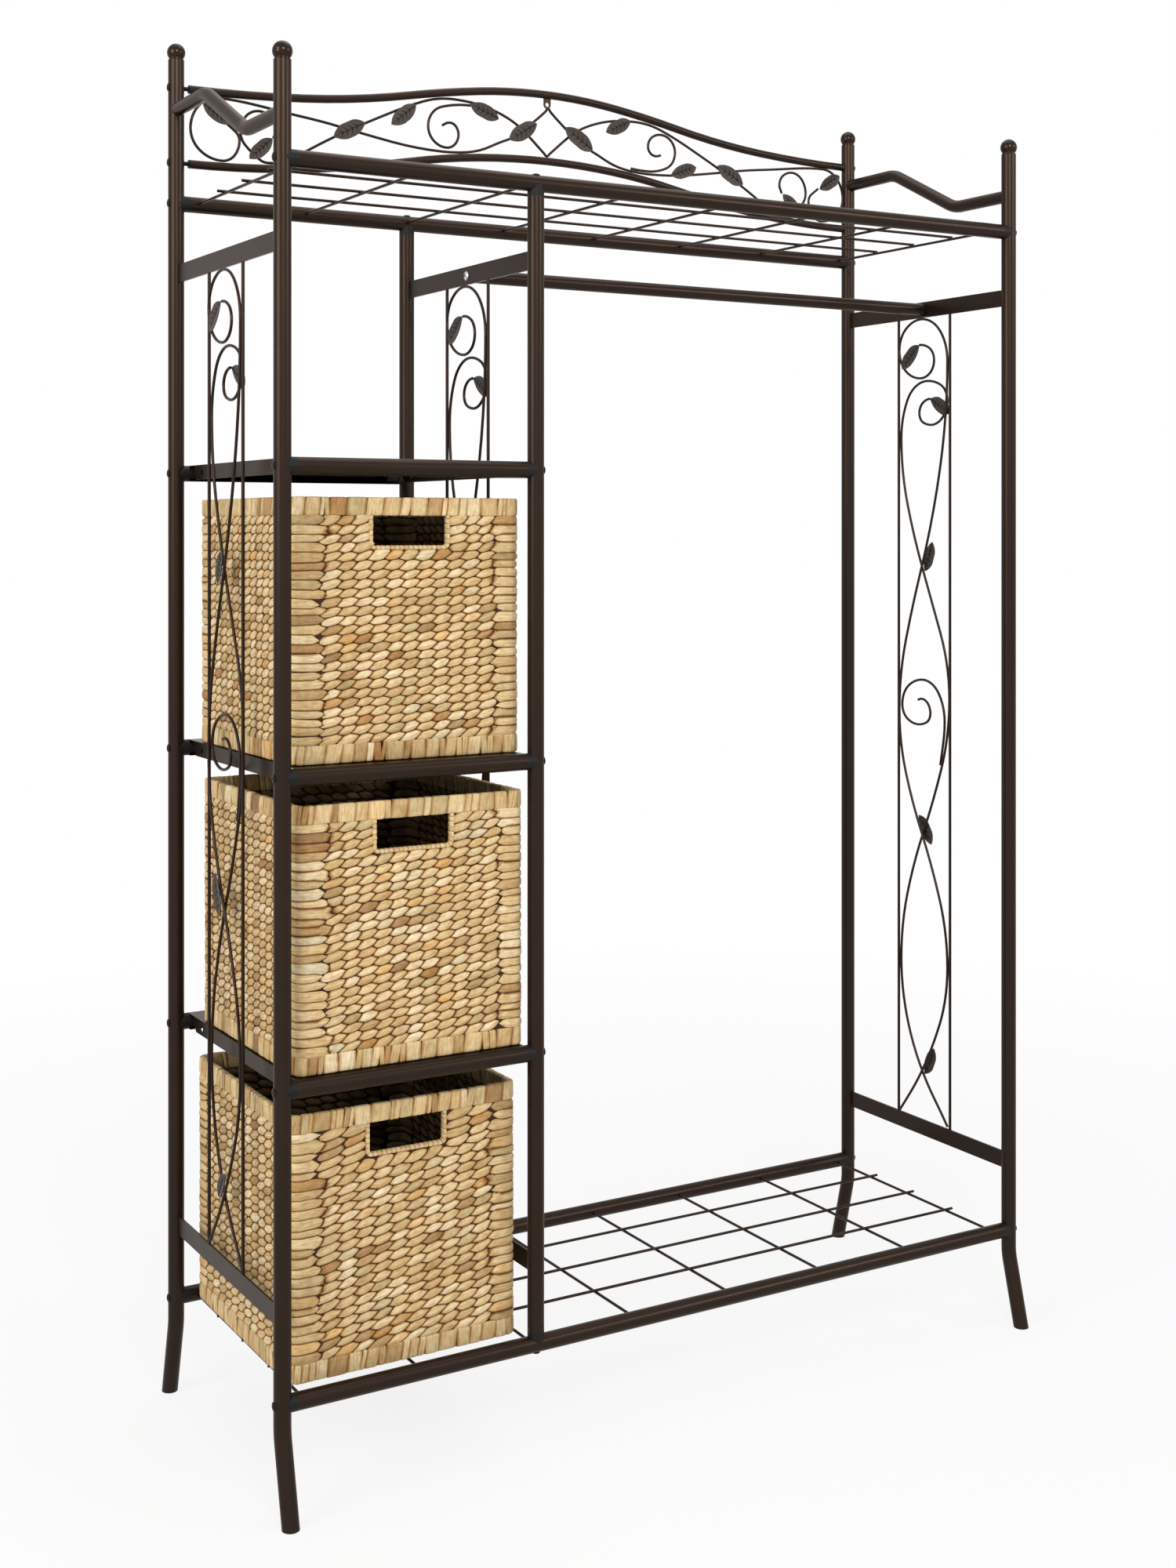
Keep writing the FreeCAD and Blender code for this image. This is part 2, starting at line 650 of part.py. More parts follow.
def gallery_eye():
    """A small lug under the crown, with the hole that takes a screw to the wall."""
    top = top_rail_height + gallery_crown_rise - gallery_radius
    low = top - eye_height
    half = eye_width / 2
    front = half_depth + weld_gap / 2
    back = front + eye_thickness
    middle = gallery_shift
    lug = box_between(at(middle - half, front, low + half), at(middle + half, back, top + gallery_radius))
    lug = lug.fuse(cylinder(at(middle, front, low + half), at(middle, back, low + half), half))
    crown = top_rail_height + gallery_crown_rise
    lug = lug.cut(cylinder(at(middle - eye_width, half_depth, crown),
                           at(middle + eye_width, half_depth, crown),
                           gallery_radius + weld_gap))
    lug = lug.common(level_slice(low, crown))
    hole = cylinder(at(middle, half_depth - overrun, low + half),
                    at(middle, half_depth + overrun, low + half),
                    eye_hole_diameter / 2)
    return lug.cut(hole).removeSplitter()


# Wire shelves

def wire_shelf(height):
    """Cross wires butted to the two rails, and three long wires lying on them."""
    radius = shelf_wire_diameter / 2
    end = half_depth - post_radius - weld_gap
    outer = cross_wire_pitch * (cross_wire_count - 1) / 2
    wires = []
    for number in range(cross_wire_count):
        x = number * cross_wire_pitch - outer
        wires.append(cylinder(at(x, -end, height), at(x, end, height), radius))
    for row in (-1, 0, 1):
        z = height + shelf_wire_diameter + weld_gap
        reach = outer + long_wire_overhang
        y = row * long_wire_pitch
        wires.append(cylinder(at(-reach, y, z), at(reach, y, z), radius))
    return wires


# Clothes rail

def clothes_rail_ends():
    """Where the rail meets its two flat bars, and the way into the rail."""
    return ((middle_x, 1), (half_span, -1))


def clothes_rail():
    start = middle_x + bar_thickness / 2
    end = half_span - bar_thickness / 2
    return tube(at(start, 0, upper_bar_height), at(end, 0, upper_bar_height), clothes_rail_diameter / 2,
                tube_wall)


def clothes_rail_plug(bar_x, inward):
    """A threaded plug flush in the rail's end."""
    start = bar_x + inward * bar_thickness / 2
    end = start + inward * clothes_rail_plug_length
    radius = clothes_rail_diameter / 2 - tube_wall - plug_clearance
    plug = cylinder(at(start, 0, upper_bar_height), at(end, 0, upper_bar_height), radius)
    return plug.cut(cylinder(at(start, 0, upper_bar_height), at(end, 0, upper_bar_height), bolt_bore))


def clothes_rail_screw(bar_x, inward):
    """A pan-head screw through the flat bar into the plug."""
    face = bar_x - inward * bar_thickness / 2
    radius = rail_screw_head_diameter / 2
    edges = [line(at(0, 0, 0), at(radius, 0, 0)), line(at(radius, 0, 0), at(radius, 0, bolt_head_skirt)),
             cap_arc(radius, bolt_head_skirt, rail_screw_head_height)]
    head = turned(edges, at(face, 0, upper_bar_height), x_axis * -inward)
    shank = cylinder(at(face, 0, upper_bar_height),
                     at(face + inward * rail_screw_length, 0, upper_bar_height), bolt_radius)
    return head.fuse(shank).removeSplitter()


# Sheet metal shelves

def shelf_roll_outline(height):
    """The shelf's section across: a flat top that rolls under at the front and at the back."""
    edges = []
    for radius, order in ((post_radius, 1), (post_radius - sheet, -1)):
        front_low = at(0, roll_return - half_depth, height - radius)
        front_under = at(0, -half_depth, height - radius)
        front_nose = at(0, -half_depth - radius, height)
        front_top = at(0, -half_depth, height + radius)
        back = [at(0, -point.y, point.z) for point in (front_top, front_nose, front_under, front_low)]
        run = [line(front_low, front_under), Part.Arc(front_under, front_nose, front_top).toShape(),
               line(front_top, back[0]), Part.Arc(back[0], back[1], back[2]).toShape(),
               line(back[2], back[3])]
        edges += run[::order]
    closing = [line(at(0, side * (half_depth - roll_return), height - post_radius),
                    at(0, side * (half_depth - roll_return), height - post_radius + sheet))
               for side in side_signs]
    return Part.Face(Part.Wire(Part.__sortEdges__(edges + closing)))


def shelf_flange(x, inward, height):
    """A side flange turned down from the plate, cut back at its corners, with two holes."""
    end = half_depth - post_radius - flange_inset
    top = height + post_radius
    low = top - flange_height
    corners = [at(x, -end, top), at(x, -end, low + flange_chamfer), at(x, flange_chamfer - end, low),
               at(x, end - flange_chamfer, low), at(x, end, low + flange_chamfer), at(x, end, top)]
    flange = Part.Face(Part.makePolygon(corners + [corners[0]])).extrude(x_axis * inward * sheet)
    middle_z = (top - sheet + low) / 2
    for y, diameter in ((end - flange_hole_inset, flange_hole_diameter),
                        (flange_pin_hole_inset - end, flange_pin_hole_diameter)):
        flange = flange.cut(cylinder(at(x - overrun, y, middle_z), at(x + overrun, y, middle_z),
                                     diameter / 2))
    return flange


def sheet_shelf(height):
    left = post_radius + saddle_length - half_span
    right = middle_x - post_radius - saddle_length
    outline = shelf_roll_outline(height)
    outline.translate(x_axis * left)
    plate = outline.extrude(x_axis * (right - left))
    for x, inward in ((left, 1), (right, -1)):
        plate = plate.fuse(shelf_flange(x, inward, height))
    return plate.removeSplitter()


# Baskets

def rounded_prism(width, depth, height, radius, base):
    """An upright prism with rounded vertical edges, centred on base, its foot at base."""
    prism = Part.makeBox(width, depth, height, base.sub(at(width / 2, depth / 2, 0)))
    upright = [edge for edge in prism.Edges
               if abs(edge.Vertexes[0].Z - edge.Vertexes[1].Z) > height / 2]
    return prism.makeFillet(radius, upright)


def basket_base(number):
    """The middle of a basket's underside."""
    x = middle_x - post_radius - basket_post_gap - basket_width / 2
    y = basket_front_setback[number] - half_depth + basket_depth / 2
    if number < len(shelf_heights) - 1:
        z = shelf_heights[number + 1] + post_radius + seat_gap
    else:
        z = bottom_rail_height + shelf_wire_diameter * 1.5 + weld_gap + seat_gap
    return at(x, y, z)


def hand_hole(base):
    """The cutter for the front hand hole, just under the rim, its lower corners rounded."""
    top = base.z + basket_height - basket_rim_height
    front = base.y - basket_depth / 2
    low = top - hand_hole_height
    block = box_between(at(base.x - hand_hole_width / 2, front - overrun, low),
                        at(base.x + hand_hole_width / 2, front + basket_wall + overrun, top))
    lower = [edge for edge in block.Edges
             if edge.BoundBox.ZMax < low + overrun / 2 and edge.BoundBox.YLength > basket_wall]
    return block.makeFillet(hand_hole_radius, lower)


def basket_shell(base):
    """The whole woven basket: wrapped rims standing a little proud of the woven walls."""
    shell = rounded_prism(basket_width, basket_depth, basket_height, basket_corner_radius, base)
    band = basket_height - 2 * basket_rim_height
    waist_base = base.add(z_axis * basket_rim_height)
    ring = rounded_prism(basket_width + overrun, basket_depth + overrun, band, basket_corner_radius,
                         waist_base)
    waist = rounded_prism(basket_width - 2 * basket_rim_relief, basket_depth - 2 * basket_rim_relief, band,
                          basket_corner_radius - basket_rim_relief, waist_base)
    shell = shell.cut(ring.cut(waist))
    inside = rounded_prism(basket_width - 2 * basket_wall, basket_depth - 2 * basket_wall, basket_height,
                           basket_corner_radius - basket_wall, base.add(z_axis * basket_floor))
    return shell.cut(inside)


def basket_pieces(number):
    """One basket: the woven walls with their base, and the wrapped rim on top of them."""
    base = basket_base(number)
    shell = basket_shell(base).cut(hand_hole(base))
    split = base.z + basket_height - basket_rim_height
    return {"walls": shell.common(level_slice(base.z, split)),
            "rim": shell.common(level_slice(split, base.z + basket_height))}


# Building and writing

def build():
    """Every node's name with its list of solids."""
    nodes = {}
    depth_names = {-1: "front", 1: "back"}
    side_names = {-1: "left", 1: "right"}
    for side in side_signs:
        for front_sign in side_signs:
            nodes[f"{side_names[side]}_{depth_names[front_sign]}_post"] = [corner_post(side, front_sign)]
    for front_sign in side_signs:
        nodes[f"middle_{depth_names[front_sign]}_post"] = [middle_post(front_sign)]
        for level, height in (("bottom", bottom_rail_height), ("top", top_rail_height)):
            nodes[f"{level}_{depth_names[front_sign]}_rail"] = [rail(front_sign, height)]
    corners = [(side, front_sign) for side in side_signs for front_sign in side_signs]
    nodes["foot_plugs"] = [foot_plug(*corner) for corner in corners]
    nodes["ball_finials"] = [finial(*corner) for corner in corners]
    nodes["rail_end_pieces"] = [saddle(centre, direction, z_axis) for centre, direction in rail_ends()]
    nodes["middle_post_end_pieces"] = [saddle(centre, direction, x_axis)
                                       for centre, direction in middle_post_ends()]
    nodes["frame_bolts"] = ([bolt(centre, direction, z_axis) for centre, direction in rail_ends()]
                            + [bolt(centre, direction, x_axis) for centre, direction in middle_post_ends()])

    for name, x in frame_places.items():
        nodes[f"{name}_upper_bar"] = [flat_bar(x, upper_bar_height, name != "left")]
        nodes[f"{name}_lower_bar"] = [flat_bar(x, lower_bar_height, False)]
        nodes[f"{name}_panel_rods"] = panel_rods(x)
        nodes[f"{name}_panel_scrolls"] = panel_scrolls(x)
        nodes[f"{name}_panel_leaves"] = panel_leaves(name)
    for side in side_signs:
        nodes[f"{side_names[side]}_wave_handle"] = [wave_handle(side * half_span)]

    nodes["gallery_upper_tube"] = [gallery_tube(gallery_end_rise, gallery_crown_rise, upper_shoulder_share)]
    nodes["gallery_lower_tube"] = [gallery_tube(gallery_lower_end_rise, gallery_lower_crown_rise,
                                                lower_shoulder_share)]
    nodes["gallery_crown_vine"] = [gallery_vine(crown_vine_shares, -vine_offset)]
    nodes["gallery_foot_vine"] = [gallery_vine(foot_vine_shares, vine_offset)]
    nodes["gallery_spirals"] = [
        swept(scroll_path(gallery_stations(left_spiral_shares), gallery_place(vine_offset)), vine_radius),
        swept(scroll_path(gallery_stations(right_spiral_shares), gallery_place(-vine_offset)), vine_radius)]
    nodes["gallery_leaves"] = gallery_leaves()
    nodes["gallery_wall_eye"] = [gallery_eye()]
    gallery_ends = [(side, rise) for side in side_signs
                    for rise in (gallery_lower_end_rise, gallery_end_rise)]
    nodes["gallery_end_plugs"] = [gallery_end_plug(*end) for end in gallery_ends]
    nodes["gallery_bolts"] = [bolt(at(side * half_span, half_depth, top_rail_height + rise), x_axis * -side,
                                   z_axis) for side, rise in gallery_ends]

    nodes["top_wire_shelf"] = wire_shelf(top_rail_height)
    nodes["bottom_wire_shelf"] = wire_shelf(bottom_rail_height)
    nodes["clothes_rail"] = [clothes_rail()]
    nodes["clothes_rail_plugs"] = [clothes_rail_plug(*end) for end in clothes_rail_ends()]
    nodes["clothes_rail_screws"] = [clothes_rail_screw(*end) for end in clothes_rail_ends()]

    names = ("upper", "middle", "lower")
    for name, height in zip(names, shelf_heights):
        nodes[f"{name}_shelf"] = [sheet_shelf(height)]
    nodes["shelf_end_pieces"] = [saddle(centre, direction, z_axis) for centre, direction in shelf_ends()]
    nodes["shelf_bolts"] = [bolt(centre, direction, z_axis) for centre, direction in shelf_ends()]
    for number, name in enumerate(names):
        for piece, solid in basket_pieces(number).items():
            nodes[f"{name}_basket_{piece}"] = [solid]
    return nodes


def write(nodes):
    os.makedirs("parts", exist_ok=True)
    for name, solids in nodes.items():
        shape = solids[0] if len(solids) == 1 else Part.makeCompound(solids)
        found = len(shape.Solids)
        if not shape.isValid() or found != len(solids):
            print("check", name, "valid", shape.isValid(), "solids", found, "of", len(solids))
        shape.exportStep(f"parts/{name}.step")
    print(len(nodes), "nodes")


write(build())
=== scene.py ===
import json
import math
from collections import namedtuple

import bpy
import numpy as np
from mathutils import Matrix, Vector
from mathutils.bvhtree import BVHTree


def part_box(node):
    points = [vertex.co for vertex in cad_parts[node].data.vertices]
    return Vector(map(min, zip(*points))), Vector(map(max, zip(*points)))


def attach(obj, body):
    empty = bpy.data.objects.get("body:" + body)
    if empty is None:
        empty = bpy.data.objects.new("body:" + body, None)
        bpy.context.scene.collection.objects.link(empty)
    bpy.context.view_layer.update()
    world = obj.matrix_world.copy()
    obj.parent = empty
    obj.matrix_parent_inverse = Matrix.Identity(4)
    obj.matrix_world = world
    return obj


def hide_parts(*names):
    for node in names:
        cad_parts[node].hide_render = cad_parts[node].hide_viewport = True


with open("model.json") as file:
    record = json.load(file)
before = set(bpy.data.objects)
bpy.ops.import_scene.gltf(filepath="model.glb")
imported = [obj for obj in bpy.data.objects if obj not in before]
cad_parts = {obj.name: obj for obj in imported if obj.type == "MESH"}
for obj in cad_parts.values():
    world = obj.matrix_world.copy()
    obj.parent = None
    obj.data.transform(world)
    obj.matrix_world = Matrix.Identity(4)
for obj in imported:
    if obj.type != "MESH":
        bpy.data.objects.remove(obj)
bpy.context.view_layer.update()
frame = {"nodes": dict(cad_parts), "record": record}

MM = 0.001
WHITE = (1.0, 1.0, 1.0)
BLACK = (0.0, 0.0, 0.0)


# Materials

class Nodes:
    """Short ways to add and join the nodes of one shader tree."""

    def __init__(self, tree):
        self.tree = tree

    def node(self, kind, **values):
        """A new node, with each value set on the input of its name, or else on the node itself."""
        made = self.tree.nodes.new(kind)
        for key, value in values.items():
            if key in made.inputs:
                made.inputs[key].default_value = value
            else:
                setattr(made, key, value)
        return made

    def link(self, source, target):
        self.tree.links.new(source, target)

    def feed(self, socket, value):
        """Links a node's output to a socket, or sets a number or a colour there."""
        if isinstance(value, bpy.types.NodeSocket):
            self.link(value, socket)
        elif isinstance(value, (int, float)):
            socket.default_value = value
        else:
            socket.default_value = (*value, 1.0)

    def maths(self, operation, first, second):
        made = self.node("ShaderNodeMath", operation=operation)
        self.feed(made.inputs[0], first)
        self.feed(made.inputs[1], second)
        return made.outputs[0]

    def mix(self, factor, first, second, blend="MIX"):
        """A colour mix; the node's colour sockets are inputs 6 and 7 and output 2."""
        made = self.node("ShaderNodeMix", data_type="RGBA", blend_type=blend)
        for place, value in ((0, factor), (6, first), (7, second)):
            self.feed(made.inputs[place], value)
        return made.outputs[2]

    def ramp(self, factor, *stops):
        made = self.node("ShaderNodeValToRGB")
        elements = made.color_ramp.elements
        while len(elements) < len(stops):
            elements.new(0.5)
        for element, (place, colour) in zip(elements, stops):
            element.position = place
            element.color = (*colour, 1.0)
        self.link(factor, made.inputs["Fac"])
        return made.outputs["Color"]

    def noise(self, vector, scale, detail, roughness=0.5):
        made = self.node("ShaderNodeTexNoise", Scale=scale, Detail=detail, Roughness=roughness)
        self.link(vector, made.inputs["Vector"])
        return made.outputs["Fac"]

    def coordinates(self, output="Object"):
        return self.node("ShaderNodeTexCoord").outputs[output]

    def background_rays(self):
        """1 for a ray straight from the camera, off something glossy or through something clear."""
        rays = self.node("ShaderNodeLightPath")
        seen = self.maths("MAXIMUM", rays.outputs["Is Camera Ray"], rays.outputs["Is Glossy Ray"])
        return self.maths("MAXIMUM", seen, rays.outputs["Is Transmission Ray"])

    def blend(self, factor, first, second):
        """The output of a blend of two shaders."""
        made = self.node("ShaderNodeMixShader")
        for socket, source in zip(made.inputs, (factor, first, second)):
            self.link(source, socket)
        return made.outputs[0]


class Shader(Nodes):
    """One material, with its node tree and its Principled surface."""

    def __init__(self, name):
        self.material = bpy.data.materials.new(name)
        self.material.use_nodes = True
        super().__init__(self.material.node_tree)
        self.surface = self.tree.nodes["Principled BSDF"]

    def set(self, **values):
        for key, value in values.items():
            self.surface.inputs[key.replace("_", " ")].default_value = value

    def base(self, colour):
        self.link(colour, self.surface.inputs["Base Color"])

    def mottle(self, place, scale, detail, dark, light):
        """A base colour that wanders between two."""
        self.base(self.ramp(self.noise(place, scale, detail), (0.3, dark), (0.7, light)))

    def bump(self, height, strength, distance):
        made = self.node("ShaderNodeBump", Strength=strength, Distance=distance)
        self.link(height, made.inputs["Height"])
        self.link(made.outputs["Normal"], self.surface.inputs["Normal"])


GLOSS_SPREAD = 0.04


def metal_paint(name, dark, light, roughness, metallic):
    """Sprayed paint on steel, with a faint mottle in its colour and in its gloss."""
    shader = Shader(name)
    place = shader.coordinates()
    shader.mottle(place, 9.0, 4.0, dark, light)
    spread = shader.node("ShaderNodeMapRange")
    shader.link(shader.noise(place, 45.0, 3.0), spread.inputs["Value"])
    spread.inputs["To Min"].default_value = roughness - GLOSS_SPREAD
    spread.inputs["To Max"].default_value = roughness + GLOSS_SPREAD
    shader.link(spread.outputs["Result"], shader.surface.inputs["Roughness"])
    shader.set(Metallic=metallic, Specular_IOR_Level=0.16, Specular_Tint=(0.80, 0.76, 0.73, 1.0))
    return shader.material


def plastic(name, dark, light):
    """Moulded plastic with a fine grain."""
    shader = Shader(name)
    place = shader.coordinates()
    shader.mottle(place, 60.0, 3.0, dark, light)
    shader.bump(shader.noise(place, 700.0, 2.0), 0.2, 0.0003)
    shader.set(Roughness=0.5, Specular_IOR_Level=0.18)
    return shader.material


def bright_metal(name):
    """Plated steel with faint turning marks."""
    shader = Shader(name)
    place = shader.coordinates()
    shader.mottle(place, 120.0, 2.0, (0.55, 0.55, 0.56), (0.72, 0.72, 0.73))
    shader.bump(shader.noise(place, 700.0, 2.0), 0.1, 0.0002)
    shader.set(Metallic=1.0, Roughness=0.25)
    return shader.material


def plant_fibre(name, shade):
    """Dried plant stalk: a tone and a tint for each strand, fibres along it, stains, brown edges, painted
    shade in the crevices, and shade multiplied over it all as painted shade.
    """
    shader = Shader(name)
    tone, tint, edge = (shader.node("ShaderNodeAttribute", attribute_name=label).outputs["Fac"]
                        for label in ("tone", "tint", "edge"))
    flat = shader.coordinates("UV")

    def fibres(along, across, detail):
        stretched = shader.node("ShaderNodeMapping")
        stretched.inputs["Scale"].default_value = (along, across, 1.0)
        shader.link(flat, stretched.inputs["Vector"])
        return shader.noise(stretched.outputs["Vector"], 1.0, detail, 0.6)

    def darken(amount, factor, *stops):
        return shader.mix(amount, colour, shader.ramp(factor, *stops), "MULTIPLY")

    broad, fine = fibres(0.5, 4.2, 3.0), fibres(1.6, 22.0, 4.0)
    stains = shader.noise(shader.coordinates(), 30.0, 3.0, 0.6)
    clouds = shader.noise(shader.coordinates(), 95.0, 2.0)
    colour = shader.ramp(tone, (0.0, (0.24, 0.115, 0.045)), (0.13, (0.45, 0.285, 0.13)),
                         (0.42, (0.700, 0.530, 0.274)), (0.75, (0.820, 0.662, 0.384)),
                         (1.0, (0.92, 0.805, 0.555)))
    colour = darken(1.0, tint, (0.0, (1.0, 0.82, 0.60)), (0.22, (1.0, 0.96, 0.91)), (0.70, WHITE),
                    (1.0, (0.79, 0.81, 0.78)))
    colour = darken(0.6, clouds, (0.34, (0.80, 0.70, 0.56)), (0.60, WHITE))
    colour = darken(0.55, broad, (0.36, (0.62, 0.44, 0.26)), (0.54, WHITE))
    colour = darken(0.38, fine, (0.34, (0.52, 0.40, 0.27)), (0.56, WHITE))
    spots = shader.ramp(stains, (0.63, BLACK), (0.83, (0.6, 0.6, 0.6)))
    colour = shader.mix(spots, colour, (0.42, 0.24, 0.10))
    # Towards a strand's edge the colour turns brown: partly the stalks' own brown edges, partly painted
    # shade.
    colour = darken(1.0, edge, (0.25, WHITE), (0.84, (0.46, 0.27, 0.11)))
    # Where strands meet the colour goes near-black: painted shade in the crevices between them.
    crevice_shade = shader.ramp(edge, (0.80, BLACK), (0.95, (0.98, 0.98, 0.98)))
    colour = shader.mix(crevice_shade, colour, (0.040, 0.015, 0.005))
    shader.base(shader.mix(1.0, colour, shade, "MULTIPLY"))
    shader.bump(shader.maths("ADD", broad, shader.maths("MULTIPLY", fine, 0.6)), 0.5, 0.0011)
    shader.set(Roughness=0.6, Specular_IOR_Level=0.2)
    return shader.material


BRONZE = ((0.0270, 0.0170, 0.0122), (0.0300, 0.0190, 0.0138))
bronze = metal_paint("bronze_paint_finish", *BRONZE, 0.30, 0.60)
# The leaves' copy of the bronze is paler: painted sheen, for the light their broad faces catch.
leaf_sheen_paint = metal_paint("leaf_sheen_paint_finish", (0.050, 0.040, 0.034), (0.066, 0.054, 0.046), 0.38, 0.32)
finial_paint = metal_paint("finial_paint_finish", *BRONZE, 0.15, 0.60)
bolt_paint = metal_paint("bolt_paint_finish", (0.014, 0.0105, 0.009), (0.018, 0.0135, 0.0115), 0.32, 0.45)
# Near-black strips for the leaves' veins and the screws' cross recesses: painted shade.
vein_shade_paint = metal_paint("vein_shade_paint_finish", (0.003, 0.0022, 0.002), (0.004, 0.003, 0.0025), 0.6, 0.0)
black_plastic = plastic("black_plastic_finish", (0.0070, 0.0060, 0.0053), (0.0095, 0.0084, 0.0076))
steel = bright_metal("bright_screw_finish")
straw = plant_fibre("plant_fibre_finish", WHITE)
# The inside's fibre, the floor's too, is multiplied by a dark grey: painted shade, since the inside lies in
# shadow.
shaded_inner_straw = plant_fibre("plant_fibre_inside_painted_shade_finish", (0.30, 0.27, 0.24))

slot_materials = {"bronze_paint": bronze, "bronze_finial": finial_paint, "black_bolt": bolt_paint,
                  "black_plastic": black_plastic, "bright_screw": steel, "woven_plant_fibre": straw}


def dress_nodes():
    """Gives every CAD node the finish of its material slot; the leaves get a paler copy of the bronze,
    painted sheen.
    """
    slots = {entry["node"]: entry["material_slot"] for entry in frame["record"]["subparts"]}
    for name, piece in frame["nodes"].items():
        material = leaf_sheen_paint if name.endswith("leaves") else slot_materials[slots[name]]
        if not piece.material_slots:
            piece.data.materials.append(material)
        for held in piece.material_slots:
            held.material = material


# Meshes

def mesh_piece(name, points, quads, material, tone=None, tint=None, edge=None, uv=None, smooth=True):
    """A mesh from arrays of points and quads, with its strand attributes and a UV map."""
    mesh = bpy.data.meshes.new(name)
    points = np.asarray(points, np.float32)
    quads = np.asarray(quads, np.int32)
    mesh.vertices.add(len(points))
    mesh.vertices.foreach_set("co", points.ravel())
    mesh.loops.add(quads.size)
    mesh.loops.foreach_set("vertex_index", quads.ravel())
    mesh.polygons.add(len(quads))
    mesh.polygons.foreach_set("loop_start", np.arange(0, quads.size, 4, dtype=np.int32))
    mesh.polygons.foreach_set("use_smooth", np.full(len(quads), smooth))
    mesh.update(calc_edges=True)
    for label, values in (("tone", tone), ("tint", tint), ("edge", edge)):
        if values is None:
            values = np.full(len(points), 0.5)
        held = mesh.attributes.new(label, "FLOAT", "POINT")
        held.data.foreach_set("value", np.asarray(values, np.float32))
    if uv is not None:
        layer = mesh.uv_layers.new(name="strands")
        layer.data.foreach_set("uv", np.asarray(uv, np.float32)[quads.ravel()].ravel())
    mesh.materials.append(material)
    mesh.validate()
    piece = bpy.data.objects.new(name, mesh)
    bpy.context.scene.collection.objects.link(piece)
    return piece


class Heap:
    """Collects patches of points and quads into one mesh."""

    def __init__(self):
        self.patches, self.count = [], 0

    def add(self, points, quads, tone, tint, edge, uv):
        self.patches.append((points, quads + self.count, tone, tint, edge, uv))
        self.count += len(points)

    def piece(self, name, material):
        points, quads, *details = (np.concatenate(arrays) for arrays in zip(*self.patches))
        return mesh_piece(name, points, quads, material, *details)


def grid_quads(patches, rows, columns, wrap_rows=False):
    """Quads over patches of rows x columns points; every patch's points follow each other."""
    i, j = np.meshgrid(np.arange(rows if wrap_rows else rows - 1), np.arange(columns - 1), indexing="ij")
    here = i * columns + j
    above = (i + 1) % rows * columns + j
    one = np.stack([here, above, above + 1, here + 1], -1).reshape(-1, 4)
    return (np.arange(patches)[:, None, None] * rows * columns + one).reshape(-1, 4)


def deep(values):
    """One value for each strand, shaped to meet that strand's grid of points."""
    return values[:, None, None]


def strand_uv(offset, along, across):
    """UV in centimetres, from a place of its own for each strand."""
    along, across = np.broadcast_arrays(along, across)
    u, v = deep(offset[:, 0]) + along / 10, deep(offset[:, 1]) + across / 10
    return np.stack([u.ravel(), v.ravel()], -1)


def spread_of(random, shape, most=1.8):
    """Normal draws, none of them further out than most."""
    return np.clip(random.normal(size=shape), -most, most)


def offsets(random, count):
    """A place of its own on the fibre pattern for each strand."""
    return random.random((count, 2)) * 40


def phases(random, count):
    """Where in their turn each strand's creases start."""
    return 6.28 * deep(random.random(count))


# Baskets, in millimetres

HEIGHT = 333.0
BAND = 24.0
WALL = 10.0
CORNER = 16.0
HOLE_WIDTH, HOLE_HEIGHT = 97.0, 41.0

CORNER_REACH = 26.0     # short strands start this far from a corner's arc
HOLE_REACH = 59.0       # and stop this far from the middle of the hand hole
HOLE_LIFT, HOLE_LIFT_FADE = 2.5, 0.12   # strands under the hole are moved up, the nearest the most
SHORT_JITTER, LONG_JITTER = (1.0, 0.5), (3.4, 0.8)

BROWN_BELOW, RED_BELOW, GREY_ABOVE = 0.02, 0.06, 0.86
BEAD_HALF, BEAD_SLANT = 0.80, 15.0      # half length as a share of the pitch, and degrees
BEAD_WIDE, CORNER_WIDE = 1.22, 1.20     # half width as a share of half a row
BEAD_TONE, CORNER_TONE = 0.66, 0.60
BEAD_DROP, BEAD_LEAN = 4.0, 0.5
CORNER_TAPER = 0.36

# Rows and columns of a strand's grid, its crest height, and half its length and width where these are fixed
OUTER_BEADS, OUTER_CORNERS = (9, 9, 0.2), (7, 19, -0.1, 46.0)
INNER_BEADS, INNER_CORNERS = (5, 7, -0.2), (5, 11, -0.3, 42.0)
FLOOR_BEADS = (5, 7, 0.0, 16.5, 6.9)
FLOOR_ROW, FLOOR_PITCH, FLOOR_INSET = 11.4, 21.5, 9.0
FLOOR_TOP, FLOOR_UNDER = 8.6, 1.2

CORE_STEPS = 120
# The core's look, dark brown with full edge, is painted shade behind the gaps between strands.
CORE_SHADE_LOOK = (0.1, 0.5, 1.0)             # tone, tint and edge
OUTER_CORE, INNER_CORE = -4.4, -WALL + 3.0

NEAR_ROWS = 15.0        # strands further up or down than this never meet
BARE_WALL = -9.0        # the height where no strand is near
# The darkening by edge is painted shade in the crevices between strands, where they meet and where they lie
# deep.
CREVICE_SHADE_REACH = 3.4        # a strand's edge darkens where it stands less than this over the next one
DEEP_SHADE = -2.6        # and a little more where it lies lower than this


